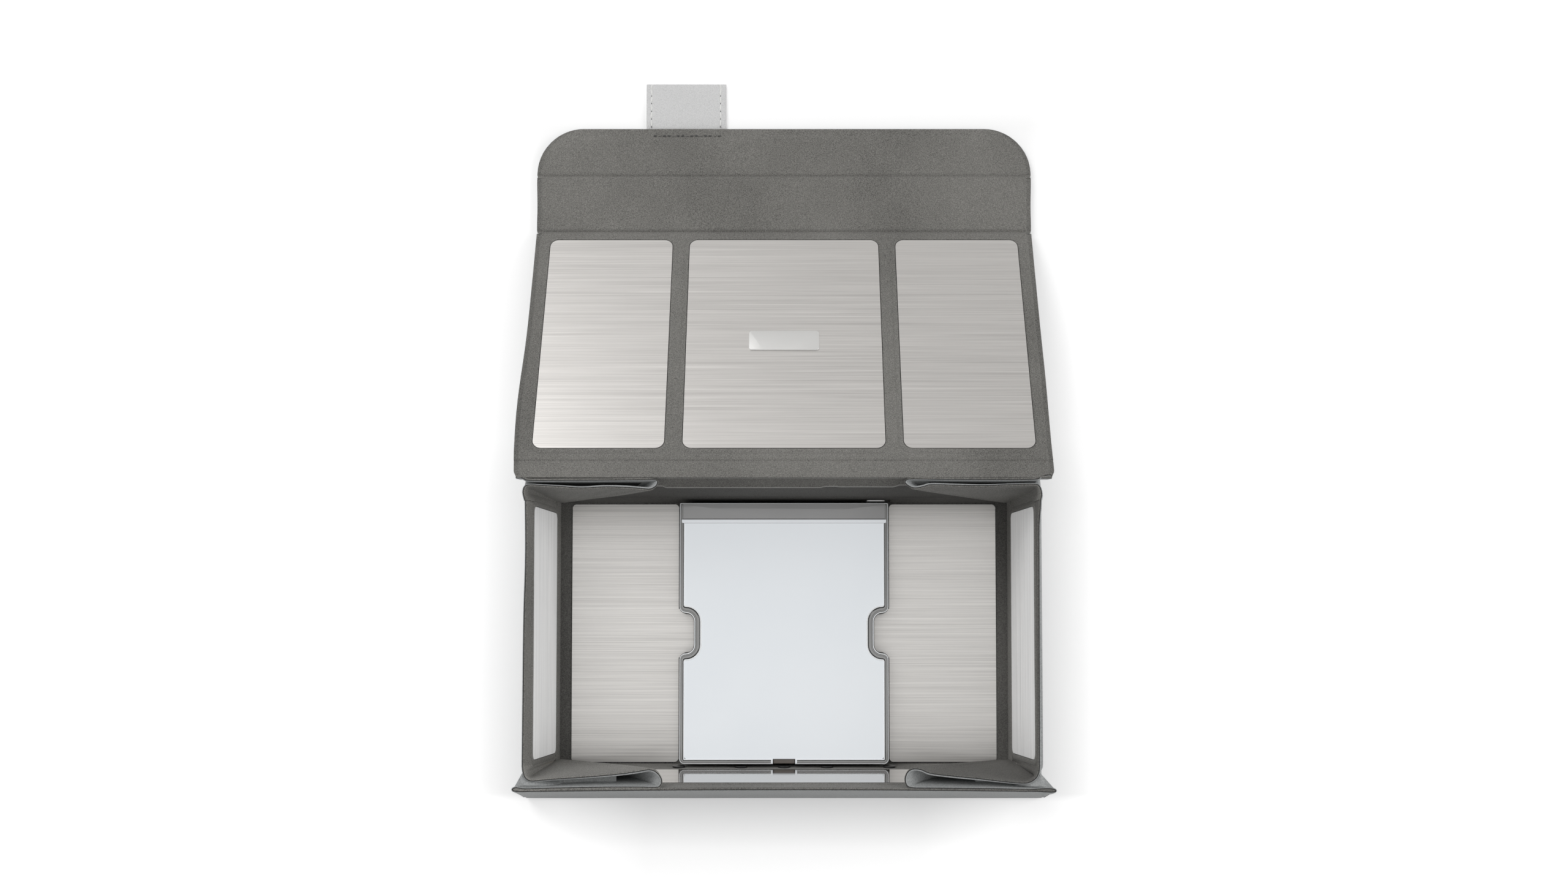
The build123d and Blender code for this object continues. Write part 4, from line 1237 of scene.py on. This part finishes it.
def make_button_guides():
    """The bright ends of the frame on both sides of the start button, as painted highlights that glow."""
    low, high = (BUTTON_HALF + 0.05, UNIT_FRONT + 0.25), (BUTTON_HALF + 0.9, UNIT_FRONT + 2.3)
    for name, sign in (("left", -1), ("right", 1)):
        shape = Shape()
        rows = [[Vector((sign * x, y, z)) for x, y in rounded_outline(low, high, 0.3, out)]
                for out, z in ((0.0, TRAY_TOP + 0.1), (0.0, UNIT_TOP - 0.05), (-0.1, UNIT_TOP + 0.05))]
        shape.face(shape.net(rows, 0, closed=True)[-1], 0)
        shape.build(f"{name}_button_guide", "base", "unit_clear", [LEDGE], sharp=50)


def make_header():
    """The grey bar behind the panel, as wide as the frame's inner bright line."""
    shape = Shape()
    half, front, rear, corner = UNIT_X - 1.7, HEADER_FRONT + 0.1, UNIT_REAR - 0.35, 0.6
    rows = []
    for inset, z in ((0.0, TRAY_TOP + 0.1), (0.0, UNIT_TOP - 0.1), (0.12, UNIT_TOP + 0.05),
                     (0.4, UNIT_TOP + 0.12)):
        outline = [(-half + inset, front + inset), (0.0, front + inset), (half - inset, front + inset)]
        for cx, turn in ((half - corner, 0), (-half + corner, 90)):
            outline += [(cx + (corner - inset) * cos(a), rear - corner + (corner - inset) * sin(a))
                        for a in (radians(turn + 15 * i) for i in range(7))]
        rows.append([Vector((x, y, z)) for x, y in outline])
    shape.face(shape.net(rows, 0, closed=True)[-1], 0)
    piece = shape.build("lamp_header_bar", "base", "unit_grey", [HEADER], sharp=30)
    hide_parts("lamp_header")


BADGE_REACH, BADGE_CORNER = ((-17.4, 73.5), (17.4, 85.4)), 1.7
# Up its edge: outward, height, finish of the step to the next
BADGE_EDGE = ((0.22, 0.05, 1), (0.22, 0.12, 1), (0.0, 0.12, 0), (0.0, 0.75, 0), (-0.12, 0.95, 0),
              (-0.35, 1.05, 0))


def make_badge():
    """The bare badge on the middle plate, with its edge rounded over, in its dark seam."""
    shape = Shape()
    rows = [[lid_point(x, s, height) for x, s in rounded_outline(*BADGE_REACH, BADGE_CORNER, out)]
            for out, height, _ in BADGE_EDGE]
    shape.face(shape.net(rows, [finish for _, _, finish in BADGE_EDGE], closed=True)[-1], 0)
    piece = shape.build("lid_badge_plate", "lid", "badge_metal", [BADGE, CORE], sharp=50)
    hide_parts("lid_badge")


def make_notch_floor():
    """The floor's steel as it shows at the bottom of each finger notch."""
    inner = [(x, y) for x, y in unit_side(-0.15) if abs(y - UNIT_MIDDLE) < NOTCH_HALF and x < 53.4]
    outline = [(54.3, inner[0][1])] + inner + [(54.3, inner[-1][1])]
    for name, sign in (("left", -1), ("right", 1)):
        shape = Shape()
        rows = [[Vector((sign * x, y, z)) for x, y in outline] for z in (FLOOR + 0.1, FLOOR + PLATE + 0.012)]
        shape.face(shape.net(rows, 0, closed=True)[-1], 0)
        shape.build(f"{name}_notch_floor", "base", "mirror_steel", [STEEL_FLOOR_LIT])


def soften_cad_edges():
    """Small bevels, so that the hard parts catch the light along their edges."""
    widths = {node: 0.12 for node in frame["nodes"] if "plate" in node}
    widths.update(lamp_panel=0.2, lamp_tray=0.4, charging_socket=0.15, socket_surround=0.4)
    for node, width in widths.items():
        bevel = frame["nodes"][node].modifiers.new("soft_edge", "BEVEL")
        bevel.width = width * MM
        bevel.segments = 2
        bevel.limit_method = "ANGLE"
        bevel.angle_limit = radians(40)


make_walls()
make_rear_wall()
make_gussets()
make_outer_covers()
make_corner_webs()
make_lid()
make_flap()
make_flap_end()
make_creases()
make_rings()
make_pull_tab()
make_stitches()
make_lamp_frame()
make_button_guides()
make_header()
make_badge()
make_notch_floor()
soften_cad_edges()


# --- Camera, floor and light ---

# Focal length, width of the frame and how far the view is shifted up, all in pixels of the frame
FOCAL_PIXELS, WIDTH_PIXELS, RISE_PIXELS = 2590.0, 2560.0, 199.9
SENSOR = 36.0
CAMERA_HEIGHT, CAMERA_TILT = 0.812, radians(2.5)


def stand_camera():
    camera = bpy.data.cameras.new("camera")
    camera.sensor_width = SENSOR
    camera.lens = FOCAL_PIXELS / WIDTH_PIXELS * SENSOR
    camera.shift_y = RISE_PIXELS / WIDTH_PIXELS
    holder = bpy.data.objects.new("camera", camera)
    holder.location = (0.0, 0.0, CAMERA_HEIGHT)
    holder.rotation_euler = (CAMERA_TILT, 0.0, 0.0)
    bpy.context.scene.collection.objects.link(holder)
    bpy.context.scene.camera = holder


# The open box on the floor, in metres: half widths of box and lid, its middle and half its length in y
BOX_HALF, LID_HALF, OPEN_MIDDLE, OPEN_HALF = 0.131, 0.125, 0.089, 0.173
NEAR_BY = 0.026                     # as far from it as the painted shadow round it reaches


def floor_glow_and_painted_shadow(tree):
    """The floor's share of even light, lowered to paint a shadow round the part: least where the part stands, more
    the further out, less painted shadow under the lid and at the front corners, more at the flap's tip.
    """
    place = add_node(tree, "ShaderNodeSeparateXYZ", {0: object_place(tree)}).outputs
    x, y = maths(tree, "ABSOLUTE", place["X"]), place["Y"]
    across = maths(tree, "SUBTRACT", x, remap(tree, y, 0.07, 0.1, BOX_HALF, LID_HALF))
    along = maths(tree, "ABSOLUTE", maths(tree, "SUBTRACT", y, OPEN_MIDDLE))
    along = maths(tree, "SUBTRACT", along, OPEN_HALF)
    sides = [maths(tree, "MAXIMUM", side, 0.0) for side in (across, along)]
    away = maths(tree, "SQRT", maths(tree, "ADD", *[maths(tree, "MULTIPLY", side, side) for side in sides]))
    front_corners = maths(tree, "MULTIPLY", remap(tree, x, 0.07, 0.115, 0.0, 0.1),
                          remap(tree, y, -0.082, -0.086))
    under_lid = maths(tree, "MULTIPLY", remap(tree, y, 0.08, 0.12, 0.0, 0.04),
                      remap(tree, away, 0.0, NEAR_BY, 1.0, 0.0))
    level = remap(tree, away, 0.0, NEAR_BY, 0.11, 0.29)
    for more in (remap(tree, away, 0.02, 0.07, 0.0, 0.08), remap(tree, away, 0.3, 1.2, 0.0, 0.5),
                 remap(tree, y, 0.24, 0.262, 0.0, -0.04), under_lid, front_corners):
        level = maths(tree, "ADD", level, more)
    return level


def lay_floor():
    bpy.ops.mesh.primitive_plane_add(size=60.0)
    floor = bpy.context.object
    floor.name = "floor"
    material = bpy.data.materials.new("pale_floor")
    material.use_nodes = True
    tree = material.node_tree
    tree.nodes.clear()
    paint = add_node(tree, "ShaderNodeBsdfDiffuse", {"Color": (0.97, 0.97, 0.97, 1)})
    glow = add_node(tree, "ShaderNodeEmission", {"Color": (1, 1, 1, 1), "Strength": 2.0})
    seen = add_node(tree, "ShaderNodeLightPath").outputs["Is Camera Ray"]
    share = maths(tree, "MULTIPLY", seen, floor_glow_and_painted_shadow(tree))
    mixed = add_node(tree, "ShaderNodeMixShader", {0: share})
    out = add_node(tree, "ShaderNodeOutputMaterial")
    for source, socket in ((paint, mixed.inputs[1]), (glow, mixed.inputs[2]), (mixed, out.inputs[0])):
        tree.links.new(source.outputs[0], socket)
    floor.data.materials.append(material)


EVEN_LIGHT = 0.43                   # what every ray gets from the room
SEEN_EXTRA, MIRRORED_EXTRA = 0.57, 0.37       # more for what the camera sees, and for reflections


def light_world():
    world = bpy.data.worlds.new("studio")
    bpy.context.scene.world = world
    world.use_nodes = True
    tree = world.node_tree
    path = add_node(tree, "ShaderNodeLightPath").outputs
    shine = maths(tree, "MAXIMUM", path["Is Camera Ray"], path["Is Transmission Ray"])
    level = maths(tree, "ADD", maths(tree, "MULTIPLY", shine, SEEN_EXTRA),
                  maths(tree, "MULTIPLY", path["Is Glossy Ray"], MIRRORED_EXTRA))
    heading = add_node(tree, "ShaderNodeTexCoord").outputs["Generated"]
    sideways = add_node(tree, "ShaderNodeSeparateXYZ", {0: heading}).outputs["X"]
    slope = remap(tree, sideways, -0.25, 0.25, 0.11, -0.09)         # reflections are brighter to the left
    slope = maths(tree, "MULTIPLY", slope, path["Is Glossy Ray"])
    strength = maths(tree, "ADD", maths(tree, "ADD", level, slope), EVEN_LIGHT)
    back = tree.nodes["Background"]
    tree.links.new(strength, back.inputs["Strength"])
    back.inputs["Color"].default_value = (1, 1, 1, 1)


def hang_lamp(name, place, size, energy, aim=(0, 0.08, 0)):
    lamp = bpy.data.lights.new(name, "AREA")
    lamp.shape = "RECTANGLE"
    lamp.size, lamp.size_y = size
    lamp.energy = energy
    holder = bpy.data.objects.new(name, lamp)
    holder.location = place
    holder.rotation_euler = (Vector(aim) - Vector(place)).to_track_quat("-Z", "Y").to_euler()
    bpy.context.scene.collection.objects.link(holder)


stand_camera()
lay_floor()
light_world()
hang_lamp("key", (-0.55, 0.7, 0.72), (0.6, 0.6), 4.2)
hang_lamp("right_side", (1.4, 0.1, 0.72), (1.2, 0.8), 9.5, (0, 0, 0.03))
hang_lamp("left_side", (-1.5, -0.1, 0.75), (1.2, 0.8), 2.0, (0, 0, 0.03))
bpy.context.scene.view_settings.view_transform = "Standard"
